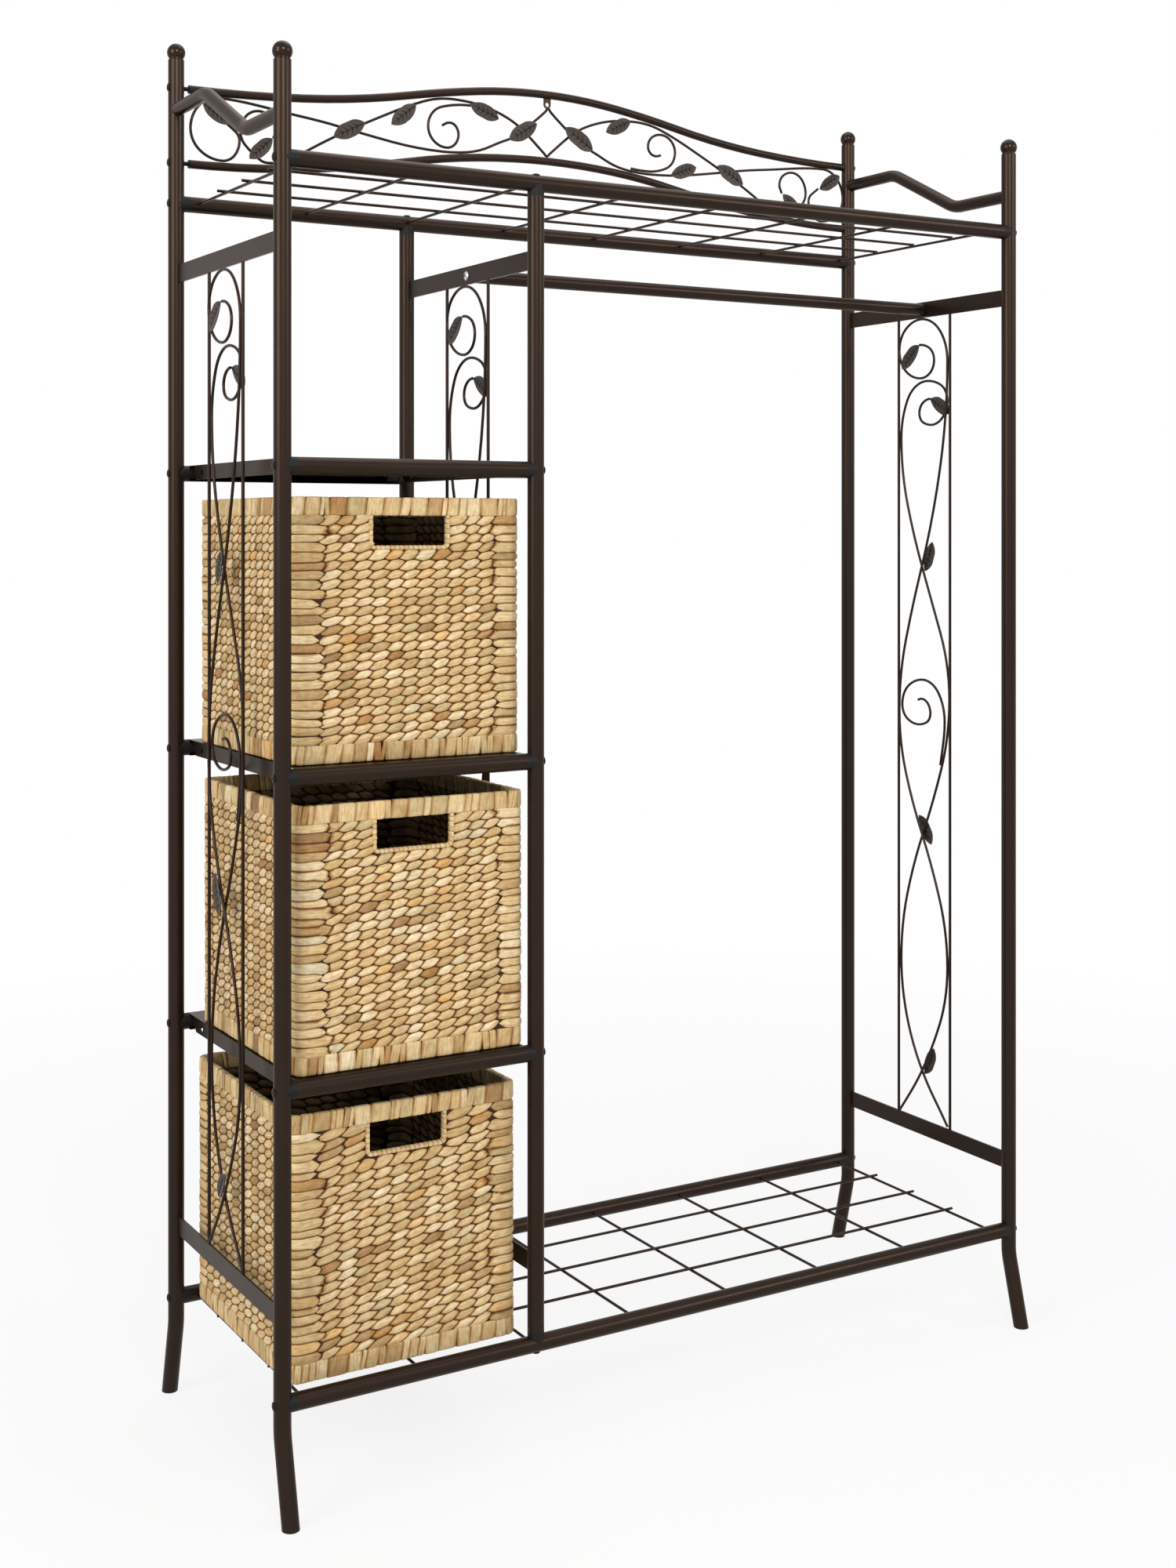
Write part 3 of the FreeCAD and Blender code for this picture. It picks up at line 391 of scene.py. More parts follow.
class Outline:
    """The rounded rectangle round a basket, by length along it, seen from outside to the right."""

    def __init__(self, centre, width, depth):
        self.centre, self.a, self.b = centre, width / 2, depth / 2
        straight_x, straight_y = width - 2 * CORNER, depth - 2 * CORNER
        self.arc = math.pi * CORNER / 2
        self.runs = [straight_x, straight_y, straight_x, straight_y]
        self.starts = []
        at = 0.0
        for run in self.runs:
            self.starts.append(at)
            at += run + self.arc
        self.total = at

    def place(self, s, z, out):
        """Points at length s, height z and distance out from the outline."""
        s = np.mod(s, self.total)
        a, b, r = self.a, self.b, CORNER
        corners = [(-a + r, -b + r), (a - r, -b + r), (a - r, b - r), (-a + r, b - r)]
        x, y = np.zeros_like(s), np.zeros_like(s)
        for side in range(4):
            start, run = self.starts[side], self.runs[side]
            turn = side * math.pi / 2
            along = (math.cos(turn), math.sin(turn))
            normal = (math.sin(turn), -math.cos(turn))
            t = s - start
            straight = (t >= 0) & (s < start + run)
            cx, cy = corners[side]
            x = np.where(straight, cx + along[0] * t + normal[0] * (r + out), x)
            y = np.where(straight, cy + along[1] * t + normal[1] * (r + out), y)
            bend = (s >= start + run) & (s < start + run + self.arc)
            angle = turn - math.pi / 2 + (t - run) / r
            cx, cy = corners[(side + 1) % 4]
            x = np.where(bend, cx + np.cos(angle) * (r + out), x)
            y = np.where(bend, cy + np.sin(angle) * (r + out), y)
        return np.stack([self.centre[0] + x, self.centre[1] + y, z], -1) * MM


def weave_places(outline, random, rows, pitch):
    """Where each row's strands show: short ones (length, height) on the faces, long ones at the corners."""
    short, long = [], []
    row_pitch = (HEIGHT - 2 * BAND) / rows
    hole_low = HEIGHT - BAND - HOLE_HEIGHT
    for row in range(rows):
        z = BAND + row_pitch * (row + 0.5)
        for side, run in enumerate(outline.runs):
            beside_hole = side == 0 and z > hole_low - row_pitch / 2
            stretches = [(CORNER_REACH, run - CORNER_REACH)]
            if beside_hole:
                stretches = [(CORNER_REACH, run / 2 - HOLE_REACH), (run / 2 + HOLE_REACH, run - CORNER_REACH)]
            slip = random.normal()
            for start, end in stretches:
                count = round((end - start) / pitch)
                step = (end - start) / count
                for k in range(count):
                    s = start + step * (k + 0.5)
                    under_hole = side == 0 and not beside_hole and abs(s - run / 2) < HOLE_REACH
                    lift = max(0.0, HOLE_LIFT - HOLE_LIFT_FADE * (hole_low - z)) if under_hole else 0.0
                    short.append((outline.starts[side] + s + slip, z + lift))
            long.append((outline.starts[side] + run + outline.arc / 2, z))
    short, long = np.array(short), np.array(long)
    short += spread_of(random, short.shape, 1.6) * SHORT_JITTER
    long += spread_of(random, long.shape, 1.6) * LONG_JITTER
    return short, long


def strand_colours(random, count, mean):
    """A tone and a tint for each of count strands: mostly straw, a few brown or reddish, some greyish."""
    tone = np.clip(mean + 0.21 * random.normal(size=count), 0.15, 1.0)
    tint = 0.25 + 0.45 * random.random(count)
    kind = random.random(count)
    tone = np.where(kind < BROWN_BELOW, 0.14 + 0.12 * random.random(count), tone)
    tint = np.where(kind < RED_BELOW, 0.16 * random.random(count), tint)
    tint = np.where(kind > GREY_ABOVE, 0.80 + 0.20 * random.random(count), tint)
    return tone, tint


# A kind of strand: a and b are half its length and width, x and y its grid of points about its centre,
# height(x, y, a, b) its height over the wall with its crest at 0, and relief what lies on top of that.
Kind = namedtuple("Kind", "centres tilt a b x y relief crest height tone tint offset")
Strand = namedtuple("Strand", "centre tilt a b crest height")


class Strands:
    """A layer of strands: each knows its height over the wall, so that the dark lines of painted shade run
    just where two meet.
    """

    def __init__(self, place, total=1.0e9):
        self.place, self.total, self.kinds = place, total, []

    def add(self, *fields):
        self.kinds.append(Kind(*fields))

    def highest_near(self, number, along, up):
        """The height of the highest other strand over each of one strand's points."""
        here = self.every[number]
        gap = self.middles - here.centre
        gap[:, 0] = (gap[:, 0] + self.total / 2) % self.total - self.total / 2
        near = (np.abs(gap[:, 0]) < self.reaches + here.a) & (np.abs(gap[:, 1]) < NEAR_ROWS)
        near[number] = False
        highest = np.full(along.shape, BARE_WALL)
        for j in np.nonzero(near)[0]:
            other = self.every[j]
            right = along - here.centre[0] - gap[j, 0]
            high = up - here.centre[1] - gap[j, 1]
            over = right * math.cos(other.tilt) + high * math.sin(other.tilt)
            cross = high * math.cos(other.tilt) - right * math.sin(other.tilt)
            highest = np.maximum(highest, other.crest + other.height(over, cross, other.a, other.b))
        return highest

    def lay(self, heap):
        """Adds every strand to the heap, its edge values, the amount of painted shade, set by how near its
        neighbours' surfaces come.
        """
        self.every = [Strand(*values, kind.height) for kind in self.kinds
                      for values in zip(kind.centres, kind.tilt, kind.a, kind.b, kind.crest)]
        self.middles = np.array([strand.centre for strand in self.every])
        self.reaches = np.array([strand.a for strand in self.every])
        number = 0
        for kind in self.kinds:
            count, rows, columns = kind.x.shape
            c, d = deep(np.cos(kind.tilt)), deep(np.sin(kind.tilt))
            along = deep(kind.centres[:, 0]) + kind.x * c - kind.y * d
            up = deep(kind.centres[:, 1]) + kind.x * d + kind.y * c
            edge, out = np.empty(kind.x.shape), np.empty(kind.x.shape)
            for i in range(count):
                own = kind.crest[i] + kind.height(kind.x[i], kind.y[i], kind.a[i], kind.b[i])
                clear = own - self.highest_near(number + i, along[i], up[i])
                # Edge is painted shade: more where a neighbour's surface comes close, and more where this
                # strand lies deep.
                edge[i] = np.clip(1 - clear / CREVICE_SHADE_REACH, -0.2, 2.0)
                edge[i] += 0.2 * np.clip(DEEP_SHADE - own, 0.0, 2.0)
                out[i] = own + kind.relief[i]
            number += count
            heap.add(self.place(along.ravel(), up.ravel(), out.ravel()), grid_quads(count, rows, columns),
                     np.repeat(kind.tone, rows * columns), np.repeat(kind.tint, rows * columns),
                     edge.ravel(), strand_uv(kind.offset, kind.x, kind.y))


def bead_height(x, y, a, b):
    """A crowned lens whose right end stands a little higher than its left."""
    return BEAD_LEAN * x / a - BEAD_DROP * (np.abs(x / a) ** 1.75 + np.abs(y / b) ** 1.75) ** 1.3


def lay_beads(strands, centres, random, rows, columns, crest, length, width):
    """Short slanted strands, drawn to points that dip under their neighbours, as in a twisted rope."""
    count = len(centres)
    spread = spread_of(random, (count, 7))
    a = length * (1 + 0.06 * spread[:, 0])
    b = width * (1 + 0.07 * spread[:, 1])
    tilt = np.radians(BEAD_SLANT + 2.5 * spread[:, 2])
    u = np.linspace(-1, 1, columns)[None, None, :]
    v = np.sin(np.linspace(-1, 1, rows) * math.pi / 2)[None, :, None]
    lens = np.maximum(1 - np.abs(u) ** 1.9, 0.03) ** 0.75
    x = 1.04 * deep(a) * (u + 0 * v)
    y = 1.10 * deep(b) * lens * v
    phase = phases(random, count)
    crease = 0.16 * np.sin(v * 6.5 + 1.5 * u + phase) * (1 - v ** 2) * lens
    lean = deep(0.30 * spread[:, 4]) * u + deep(0.25 * spread[:, 5]) * v * lens
    tone, tint = strand_colours(random, count, BEAD_TONE)
    strands.add(centres, tilt, a, b, x, y, crease + lean, crest - 0.3 * np.abs(spread[:, 6]),
                bead_height, tone, tint, offsets(random, count))


def corner_taper(u):
    """How wide a corner strand still is: 1 along its middle, and nearly 0 at its tips."""
    left = np.clip((1 - np.abs(u)) / CORNER_TAPER, 0.02, 1.0)
    return (1 - (1 - left) ** 1.5) ** 1.1


def corner_height(x, y, a, b):
    """Flat, with rounded edges, and sinking into the weave towards its tips."""
    taper = corner_taper(x / a)
    return -2.3 * (np.abs(y) / (b * taper)) ** 4.5 - 3.4 * (1 - taper) ** 1.2


def lay_corners(strands, centres, random, rows, columns, crest, half, width):
    """Long flat strands round the corners, split by grooves."""
    count = len(centres)
    spread = spread_of(random, (count, 6))
    a = half * (1 + 0.13 * spread[:, 0])
    b = width * (1 + 0.17 * spread[:, 1])
    tilt = np.radians(1.8 * spread[:, 5])
    u = np.linspace(-1, 1, columns)
    u = (np.sign(u) * np.abs(u) ** 0.8)[None, None, :]
    v = np.sin(np.linspace(-1, 1, rows) * math.pi / 2)[None, :, None]
    x = deep(a) * (u + 0 * v)
    y = 1.08 * deep(b) * corner_taper(u) * v
    phase = phases(random, count)
    groove = 0.40 * np.abs(np.sin(v * 3.6 + phase + 0.5 * u)) ** 3 * (1 - v ** 2)
    lean = 0.25 * deep(spread[:, 4]) * u
    tone, tint = strand_colours(random, count, CORNER_TONE)
    strands.add(centres, tilt, a, b, x, y, lean - groove, crest - 0.4 * np.abs(spread[:, 3]),
                corner_height, tone, tint, offsets(random, count))


def lay_core(heap, outline, base_z, out):
    """The layer behind the strands, dark brown with full edge: painted shade in the gaps between them. Open
    at the hand hole.
    """
    middle = outline.starts[0] + outline.runs[0] / 2
    hole_left, hole_right = (middle + sign * (HOLE_WIDTH / 2 + 5.0) for sign in (-1, 1))
    s = np.unique(np.concatenate([np.linspace(0, outline.total, CORE_STEPS + 1)[:-1],
                                  [hole_left, hole_right]]))
    ring = np.append(s, s[0] + outline.total)
    top = base_z + HEIGHT
    z = np.array([base_z + 3, top - BAND - HOLE_HEIGHT, top - BAND + 1, top - 4])
    gs, gz = (grid.ravel() for grid in np.meshgrid(ring, z, indexing="ij"))
    quads = grid_quads(1, len(ring), len(z)).reshape(-1, len(z) - 1, 4)
    halfway = (ring[:-1] + ring[1:]) / 2
    kept = np.ones(quads.shape[:2], bool)
    kept[(hole_left < halfway) & (halfway < hole_right), 1] = False
    heap.add(outline.place(gs, gz, np.full(gs.size, out)), quads[kept],
             *(np.full(gs.size, value) for value in CORE_SHADE_LOOK), np.stack([gs / 10, gz / 10], -1))


RING_POINTS, WRAP_COLUMNS = 20, 13
SQUARENESS = 0.36
WIDE_SHARE = 0.55
WIDE_WRAP, NARROW_WRAP = (13.0, 15.0), (5.0, 6.0)   # the least width, and how much wider at most
LAST_WRAP = 8.0         # no new strand starts where less than this is left of the way round


def lay_wrap(heap, outline, random, low, high, outer, inner, mean):
    """Strands wound upright round a rim, wide and narrow, each a little crowned and grooved."""
    half_h, half_t = (high - low) / 2, (outer - inner) / 2
    middle, centre_out = (low + high) / 2, (outer + inner) / 2
    angles = math.pi + 2 * math.pi * np.arange(RING_POINTS) / RING_POINTS
    sx = np.copysign(np.abs(np.cos(angles)) ** SQUARENESS, np.cos(angles))
    sy = np.copysign(np.abs(np.sin(angles)) ** SQUARENESS, np.sin(angles))
    widths, reached = [], 0.0
    while reached < outline.total - LAST_WRAP:
        least, more = WIDE_WRAP if random.random() < WIDE_SHARE else NARROW_WRAP
        widths.append(least + more * random.random())
        reached += widths[-1]
    widths = np.array(widths) * outline.total / sum(widths)
    edges = np.concatenate([[0], np.cumsum(widths)])
    centre, half_w = (edges[:-1] + edges[1:]) / 2, widths / 2
    count = len(widths)
    t = np.linspace(-1, 1, WRAP_COLUMNS)
    spread = spread_of(random, (count, 3))
    thick = 0.55 * random.random(count)
    phase = phases(random, count)
    groove = 0.22 * np.abs(np.sin(t * 0.5 * deep(half_w) + phase)) ** 3
    inset = 1.1 * np.abs(t) ** 5 + deep(thick) + groove * (1 - t ** 2)
    wave = 0.30 * deep(spread[:, 2]) * np.sin(2 * angles + 1.0)[None, :, None]
    out = centre_out + (half_t - inset - np.abs(wave)) * sx[None, :, None]
    z = middle + (half_h - inset * 0.7) * sy[None, :, None]
    s = deep(centre) + deep(half_w) * 1.04 * t + deep(1.0 + 0.9 * spread[:, 0]) * sy[None, :, None]
    offset = offsets(random, count)
    run = np.cumsum(np.concatenate([[0], np.hypot(np.diff(sx * half_t), np.diff(sy * half_h))]))
    uv = strand_uv(offset, run[None, :, None], deep(half_w) * t)
    tone, tint = strand_colours(random, count, mean)
    # Each wrap strand darkens towards its sides by a strength of its own: painted shade in the gaps between
    # strands.
    crevice_shade = 0.66 + 0.34 * random.random(count)
    edge = np.broadcast_to(np.abs(t) ** 2.5 * deep(crevice_shade), s.shape)
    heap.add(outline.place(s.ravel(), z.ravel(), out.ravel()),
             grid_quads(count, RING_POINTS, WRAP_COLUMNS, wrap_rows=True)[:, ::-1],
             np.repeat(tone, RING_POINTS * WRAP_COLUMNS), np.repeat(tint, RING_POINTS * WRAP_COLUMNS),
             edge.ravel(), uv)


BORDER_RADIUS = 6.0
BORDER_STEPS, BORDER_RING = 220, 16
BORDER_TURN = 6.5       # length of the binding that one turn of its strand covers
BORDER_HALF_HIGH, BORDER_HALF_DEEP, BORDER_RIDGE = 2.7, 5.4, 0.34
BORDER_OUT = -5.6
BORDER_TONES = 64


def lay_hole_border(heap, outline, random, base_z):
    """A strand wound round the sides and the lower edge of the hand hole."""
    mid = outline.starts[0] + outline.runs[0] / 2
    top = base_z + HEIGHT - BAND + 1.0
    low = top - 1.0 - HOLE_HEIGHT + 0.8
    half = HOLE_WIDTH / 2 + 5.5
    radius = BORDER_RADIUS

    def bend(x, start):
        """Points round one lower corner, from a start angle on."""
        angles = [start + math.pi / 2 * k / 6 for k in range(1, 6)]
        return [(x + radius * math.cos(a), low + radius + radius * math.sin(a)) for a in angles]

    route = np.array([(-half, top), (-half, low + radius), *bend(-half + radius, math.pi),
                      (-half + radius, low), (half - radius, low), *bend(half - radius, -math.pi / 2),
                      (half, low + radius), (half, top)])
    lengths = np.concatenate([[0], np.cumsum(np.hypot(*np.diff(route, axis=0).T))])
    at = np.linspace(0, lengths[-1], BORDER_STEPS)
    px, pz = np.interp(at, lengths, route[:, 0]), np.interp(at, lengths, route[:, 1])
    tangent = np.stack([np.gradient(px), np.gradient(pz)], -1)
    tangent /= np.linalg.norm(tangent, axis=1)[:, None]
    side = np.stack([tangent[:, 1], -tangent[:, 0]], -1)
    angles = np.linspace(0, 2 * math.pi, BORDER_RING, endpoint=False)
    phase = at[:, None] * 2 * math.pi / BORDER_TURN + 0.9 * np.sin(angles)
    ridge = BORDER_RIDGE * np.abs(np.sin(phase / 2))
    across = (BORDER_HALF_HIGH + ridge) * np.cos(angles)
    through = (BORDER_HALF_DEEP + ridge) * np.sin(angles)
    s = mid + px[:, None] + side[:, :1] * across
    z = pz[:, None] + side[:, 1:] * across
    points = outline.place(s.ravel(), z.ravel(), (BORDER_OUT + through).ravel())
    uv = np.stack([np.tile(np.arange(BORDER_RING) * 0.25, BORDER_STEPS), np.repeat(at / 10, BORDER_RING)], -1)
    turns = np.floor(phase / (2 * math.pi)).astype(int) % BORDER_TONES
    tone = (0.5 + 0.4 * random.random(BORDER_TONES))[turns].ravel()
    # Edge is highest between turns of the binding: painted shade in the grooves there.
    edge = (0.9 * (1 - np.abs(np.sin(phase / 2))) ** 2).ravel()
    i, j = np.meshgrid(np.arange(BORDER_STEPS - 1), np.arange(BORDER_RING), indexing="ij")
    here, beside = i * BORDER_RING + j, i * BORDER_RING + (j + 1) % BORDER_RING
    quads = np.stack([here, beside, beside + BORDER_RING, here + BORDER_RING], -1).reshape(-1, 4)
    heap.add(points, quads, tone, np.full(len(points), 0.5), edge, uv)


def lay_floor(heap, outline, random, z, up):
    """Rows of the same strands over the basket's floor, seen from above or from below."""
    a, b = outline.a - FLOOR_INSET, outline.b - FLOOR_INSET
    rows, count = int(2 * b // FLOOR_ROW), int(2 * a // FLOOR_PITCH)
    y = -b + (np.arange(rows) + 0.5) * 2 * b / rows
    x = -a + (np.arange(count) + 0.5) * 2 * a / count
    centres = np.stack([grid.ravel() for grid in np.meshgrid(x, y)], -1)
    sign = 1 if up else -1

    def place(along, across, out):
        points = [outline.centre[0] + along, outline.centre[1] + sign * across, z + sign * out]
        return np.stack(points, -1) * MM

    strands = Strands(place)
    lay_beads(strands, centres, random, *FLOOR_BEADS)
    strands.lay(heap)


def lay_weave(heap, outline, random, base_z, rows, pitch, place, beads, corners):
    """The strands of one side of the walls, with the settings for its beads and its corner strands."""
    half_row = (HEIGHT - 2 * BAND) / rows / 2
    short, long = weave_places(outline, random, rows, pitch)
    short[:, 1] += base_z
    long[:, 1] += base_z
    strands = Strands(place, outline.total)
    lay_beads(strands, short, random, *beads, BEAD_HALF * pitch, BEAD_WIDE * half_row)
    lay_corners(strands, long, random, *corners, CORNER_WIDE * half_row)
    strands.lay(heap)


def basket(name, seed, rows, pitch):
    """One woven basket over its solids."""
    walls, rim = f"{name}_walls", f"{name}_rim"
    base_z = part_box(walls)[0].z / MM
    low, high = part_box(rim)
    width, depth = (high.x - low.x) / MM, (high.y - low.y) / MM
    outline = Outline(((high.x + low.x) / 2 / MM, (high.y + low.y) / 2 / MM), width, depth)
    random = np.random.default_rng(seed)

    def place_inside(along, up, out):
        return outline.place(along, up, -WALL - out)

    weave = Heap()
    lay_weave(weave, outline, random, base_z, rows, pitch, outline.place, OUTER_BEADS, OUTER_CORNERS)
    lay_core(weave, outline, base_z, OUTER_CORE)

    lining = Heap()
    lay_weave(lining, outline, random, base_z, rows, pitch, place_inside, INNER_BEADS, INNER_CORNERS)
    lay_core(lining, outline, base_z, INNER_CORE)
    lay_floor(lining, outline, random, base_z + FLOOR_TOP, True)
    lay_floor(lining, outline, random, base_z + FLOOR_UNDER, False)

    foot, crown, border = Heap(), Heap(), Heap()
    top = base_z + HEIGHT
    lay_wrap(foot, outline, random, base_z + 0.2, base_z + BAND + 0.4, -0.1, -WALL + 0.4, 0.56)
    lay_wrap(crown, outline, random, top - BAND, top - 0.1, 0.0, -WALL - 0.6, 0.60)
    lay_hole_border(border, outline, random, base_z)

    woven = weave.piece(f"{name}_weave", straw)
    lined = lining.piece(f"{name}_inner_weave", shaded_inner_straw)
    wound_foot = foot.piece(f"{name}_base_wrap", straw)
    wound_rim = crown.piece(f"{name}_rim_wrap", straw)
    grip = border.piece(f"{name}_hand_hole_binding", straw)
    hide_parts(walls)
    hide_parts(rim)
    for piece in (woven, lined, wound_foot, wound_rim, grip):
        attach(piece, name)


# Small metal details, in metres

VEIN_WIDTH = 1.5 * MM
VEIN_PROUD = 0.32 * MM
SIDE_VEINS, FIRST_VEIN, VEIN_STEP, VEIN_SWEEP = 4, -0.52, 0.30, 0.20   # shares of half the leaf's length
MIDRIB_ENDS = (-0.86, 0.80)
DROP_HEIGHT = 12 * MM
CROSS_LENGTH, CROSS_WIDTH = 5.4 * MM, 1.2 * MM
CROSS_PROUD = 0.08 * MM
CROSS_TURN = 0.4


def islands(piece):
    """The separate solids of a CAD node: each one's points, in metres."""
    mesh = piece.data
    parent = list(range(len(mesh.vertices)))

    def root(k):
        while parent[k] != k:
            parent[k] = parent[parent[k]]
            k = parent[k]
        return k

    def join(first, second):
        a, b = root(first), root(second)
        if a != b:
            parent[a] = b

    points = np.empty(len(mesh.vertices) * 3, np.float32)
    mesh.vertices.foreach_get("co", points)
    points = points.reshape(-1, 3)
    for edge in mesh.edges:
        join(*edge.vertices)
    same_place = {}
    for k, point in enumerate(np.round(points * 1e5).astype(int)):
        join(same_place.setdefault(tuple(point), k), k)
    roots = np.array([root(k) for k in range(len(points))])
    return [points[roots == value] for value in dict.fromkeys(roots)]


def lay_veins(name, body):
    """A midrib and side veins on both faces of every leaf of a node, each a thin near-black strip laid on the
    metal: painted shade along the veins.
    """
    node = frame["nodes"][name]
    tree = BVHTree.FromPolygons([v.co for v in node.data.vertices], [p.vertices for p in node.data.polygons])
    points, quads = [], []

    def strip(route, side_way, normal):
        """One strip along points on the leaf's plane, dropped on its face along the normal."""
        laid = []
        for k, place in enumerate(route):
            start = Vector(place + normal * DROP_HEIGHT)
            hit, *_ = tree.ray_cast(start, Vector(-normal), 2 * DROP_HEIGHT)
            if hit is None:
                break
            narrow = 1.0 - 0.75 * k / (len(route) - 1)
            for sign in (-1, 1):
                laid.append(np.array(hit) + normal * VEIN_PROUD + side_way * sign * VEIN_WIDTH / 2 * narrow)
        first = len(points)
        points.extend(laid)
        for a in range(first, first + len(laid) - 2, 2):
            quads.append((a, a + 1, a + 3, a + 2))

    for leaf in islands(node):
        centre = leaf.mean(0)
        length_way, width_way, normal = np.linalg.svd(leaf - centre, full_matrices=False)[2]
        reach = np.abs((leaf - centre) @ length_way).max()
        half_width = np.abs((leaf - centre) @ width_way).max()
        midrib = np.linspace(*MIDRIB_ENDS, 12)[:, None] * reach
        ends = np.linspace(0, 1, 6)[:, None]
        for face in (-1, 1):
            strip(centre + midrib * length_way, width_way, normal * face)
            for k in range(SIDE_VEINS):
                start = FIRST_VEIN + VEIN_STEP * k
                room = half_width * 0.66 * (1 - 0.55 * abs(start + 0.12))
                for side in (-1, 1):
                    route = (centre + (start + VEIN_SWEEP * ends) * reach * length_way
                             + side * ends * room * width_way)
                    across = 0.8 * length_way - 0.6 * side * width_way
                    strip(route, across / np.linalg.norm(across), normal * face)
    piece = mesh_piece(f"{name}_veins", points, quads, vein_shade_paint, smooth=False)
    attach(piece, body)


def lay_crosses():
    """A near-black cross on each of the clothes rail's screw heads, which face away from the hanging bay:
    painted shade for its cross recess.
    """
    points, quads = [], []
    bay = sum(v.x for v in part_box("clothes_rail")) / 2
    for screw in islands(frame["nodes"]["clothes_rail_screws"]):
        outward = 1 if screw[:, 0].mean() > bay else -1
        crown = screw[np.argmax(screw[:, 0] * outward)]
        middle = (screw.max(0) + screw.min(0)) / 2
        centre = np.array([crown[0] + outward * CROSS_PROUD, middle[1], middle[2]])
        for turn in (CROSS_TURN, CROSS_TURN + math.pi / 2):
            along = np.array([0, math.cos(turn), math.sin(turn)]) * CROSS_LENGTH / 2
            across = np.array([0, -math.sin(turn), math.cos(turn)]) * CROSS_WIDTH / 2
            first = len(points)
            points.extend([centre - along - across, centre + along - across,
                           centre + along + across, centre - along + across])
            quads.append((first, first + 1, first + 2, first + 3))
    piece = mesh_piece("clothes_rail_screw_cross_shade", points, quads, vein_shade_paint, smooth=False)
    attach(piece, "frame")


# Surroundings

WORLD_STRENGTH = 0.36
FLOOR_HALF, FLOOR_Z = 14.0, -0.0003

# Each lamp's name, place, target, width, height, power in watts, and colour
LAMPS = (
    ("key_lamp", (-3.2, -0.9, 2.3), (0.0, -0.1, 1.1), 1.5, 2.0, 64.0, (1.0, 0.99, 0.97)),
    ("front_lamp", (-1.2, -3.9, 3.1), (0.0, 0.0, 0.9), 1.5, 1.2, 86.0, (1.0, 0.985, 0.96)),
    ("top_lamp", (0.3, 0.2, 3.7), (0.0, 0.0, 0.8), 2.6, 1.8, 30.0, WHITE),
    ("right_lamp", (2.7, -3.3, 2.6), (0.0, 0.0, 0.9), 1.5, 0.8, 40.0, (0.98, 0.99, 1.0)))


def white_world():
    """A soft surround that looks plain white to the camera and in reflections."""
    world = bpy.data.worlds.new("surround")
    bpy.context.scene.world = world
    world.use_nodes = True
    nodes = Nodes(world.node_tree)
    nodes.tree.nodes.clear()
    out = nodes.node("ShaderNodeOutputWorld")
    lit = nodes.node("ShaderNodeBackground", Color=(1.0, 0.995, 0.985, 1.0), Strength=WORLD_STRENGTH)
    seen = nodes.node("ShaderNodeBackground", Color=(*WHITE, 1.0), Strength=1.0)
    surface = nodes.blend(nodes.background_rays(), lit.outputs[0], seen.outputs[0])
    nodes.link(surface, out.inputs["Surface"])


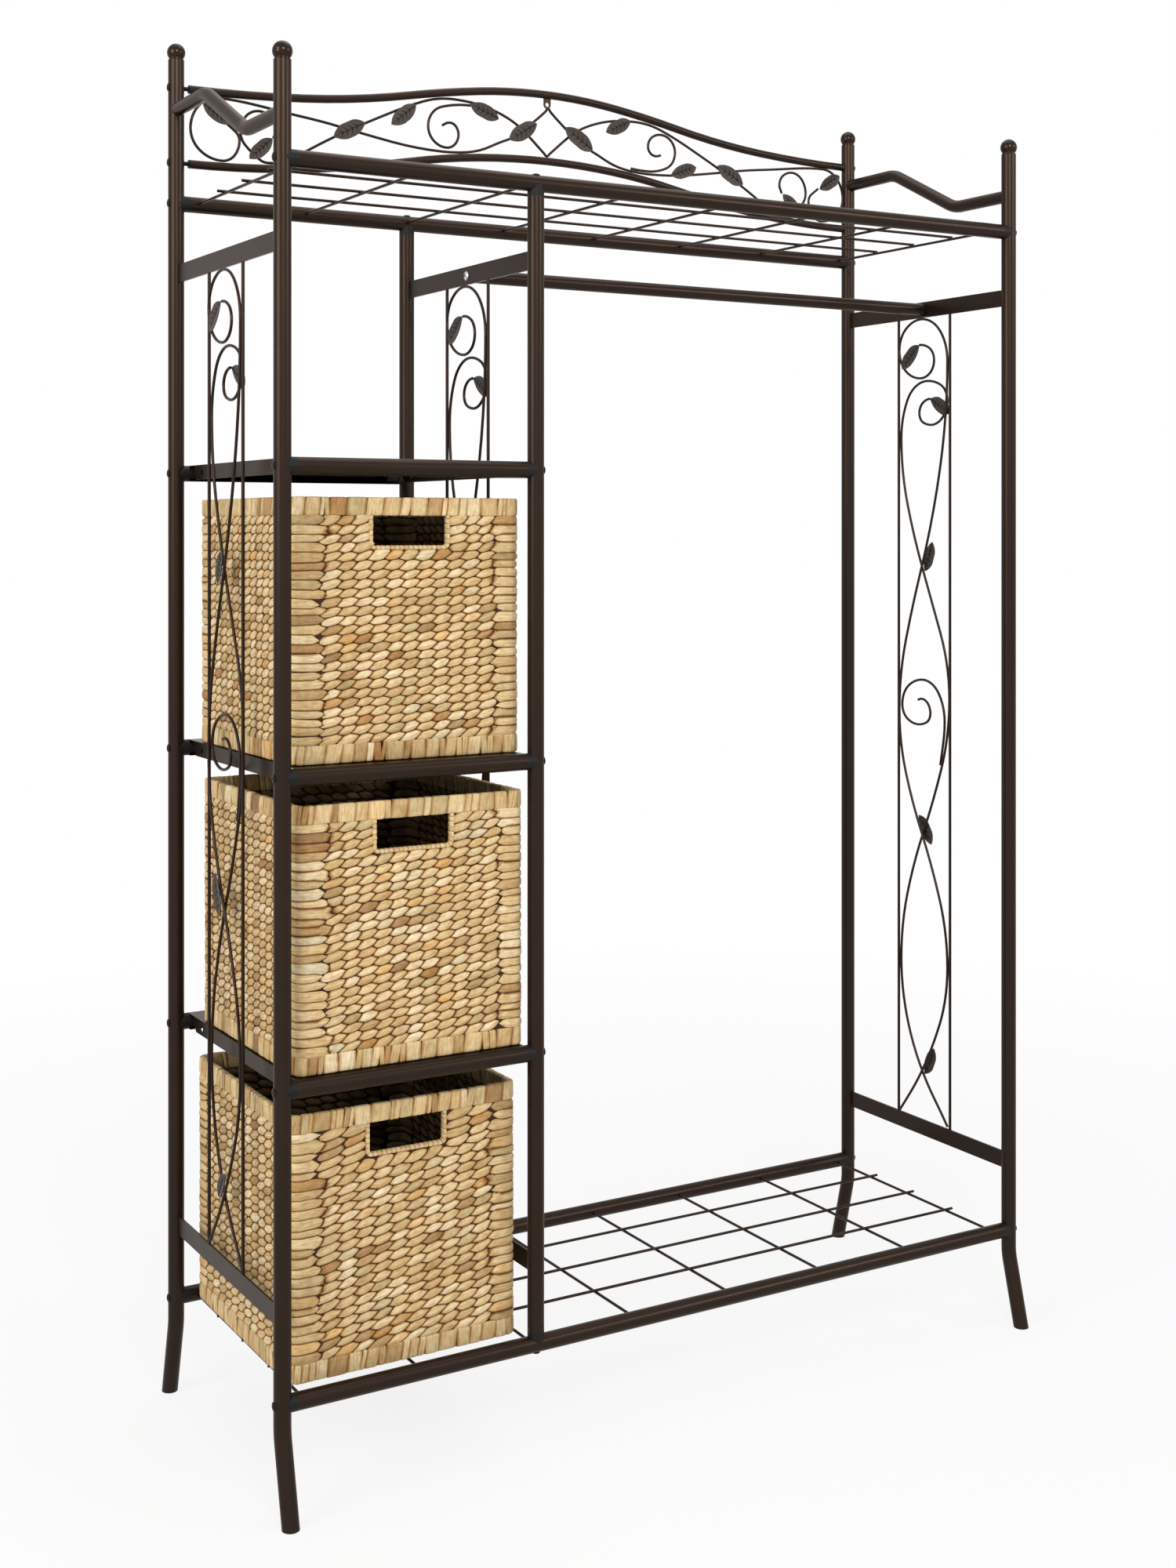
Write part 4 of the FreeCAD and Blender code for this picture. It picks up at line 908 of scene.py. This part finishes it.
def pale_floor():
    """A floor that fades to white away from the object and keeps part of its shadow near it."""
    mesh = bpy.data.meshes.new("studio_floor")
    corners = [(x * FLOOR_HALF, y * FLOOR_HALF, FLOOR_Z) for x, y in ((-1, -1), (1, -1), (1, 1), (-1, 1))]
    mesh.from_pydata(corners, [], [(0, 1, 2, 3)])
    floor = bpy.data.objects.new("studio_floor", mesh)
    bpy.context.scene.collection.objects.link(floor)
    shader = Shader("studio_floor_finish")
    shader.set(Roughness=0.8, Specular_IOR_Level=0.2)
    shader.mottle(shader.coordinates(), 300.0, 2.0, (0.79, 0.79, 0.79), (0.81, 0.81, 0.81))
    glow = shader.node("ShaderNodeEmission", Strength=1.0)
    distance = shader.node("ShaderNodeVectorMath", operation="LENGTH")
    shader.link(shader.coordinates(), distance.inputs[0])
    fade = shader.ramp(shader.maths("DIVIDE", distance.outputs["Value"], 3.0),
                       (0.25, (0.84, 0.84, 0.84)), (0.95, WHITE))
    share = shader.maths("MULTIPLY", shader.background_rays(), fade)
    surface = shader.blend(share, shader.surface.outputs[0], glow.outputs[0])
    shader.link(surface, shader.tree.nodes["Material Output"].inputs["Surface"])
    mesh.materials.append(shader.material)


def soft_lamps():
    for name, place, target, width, height, watts, colour in LAMPS:
        data = bpy.data.lights.new(name, "AREA")
        data.shape, data.size, data.size_y = "RECTANGLE", width, height
        data.energy, data.color = watts, colour
        lamp = bpy.data.objects.new(name, data)
        lamp.location = place
        lamp.rotation_euler = (Vector(target) - Vector(place)).to_track_quat("-Z", "Y").to_euler()
        bpy.context.scene.collection.objects.link(lamp)


# The photograph is taken as 1500 x 2000 pixels
PHOTO_WIDTH, PHOTO_HEIGHT = 1500, 2000
FOCAL_LENGTH, HORIZON = 2497.1, 677.2
SENSOR_HEIGHT = 36.0
CAMERA_PLACE, CAMERA_TURN = (-1.4854, -2.4341, 1.2033), 30.70


def photo_camera():
    """A level camera to the left of the front, as high as the middle basket's top, its frame shifted down."""
    data = bpy.data.cameras.new("photo_camera")
    data.sensor_fit = "VERTICAL"
    data.sensor_height = SENSOR_HEIGHT
    data.sensor_width = SENSOR_HEIGHT * PHOTO_WIDTH / PHOTO_HEIGHT
    data.lens = FOCAL_LENGTH / PHOTO_HEIGHT * SENSOR_HEIGHT
    data.shift_y = -(PHOTO_HEIGHT / 2 - HORIZON) / PHOTO_HEIGHT
    data.clip_end = 60.0
    camera = bpy.data.objects.new("photo_camera", data)
    camera.location = CAMERA_PLACE
    camera.rotation_euler = (math.pi / 2, 0.0, -math.radians(CAMERA_TURN))
    bpy.context.scene.collection.objects.link(camera)
    bpy.context.scene.camera = camera


photo_camera()
bpy.context.scene.view_settings.view_transform = "Standard"
white_world()
pale_floor()
soft_lamps()
dress_nodes()
basket("upper_basket", 11, 25, 21.5)
basket("middle_basket", 18, 25, 21.5)
basket("lower_basket", 25, 24, 24.0)
for leaves in ("gallery_leaves", "left_panel_leaves", "middle_panel_leaves", "right_panel_leaves"):
    lay_veins(leaves, "frame")
lay_crosses()
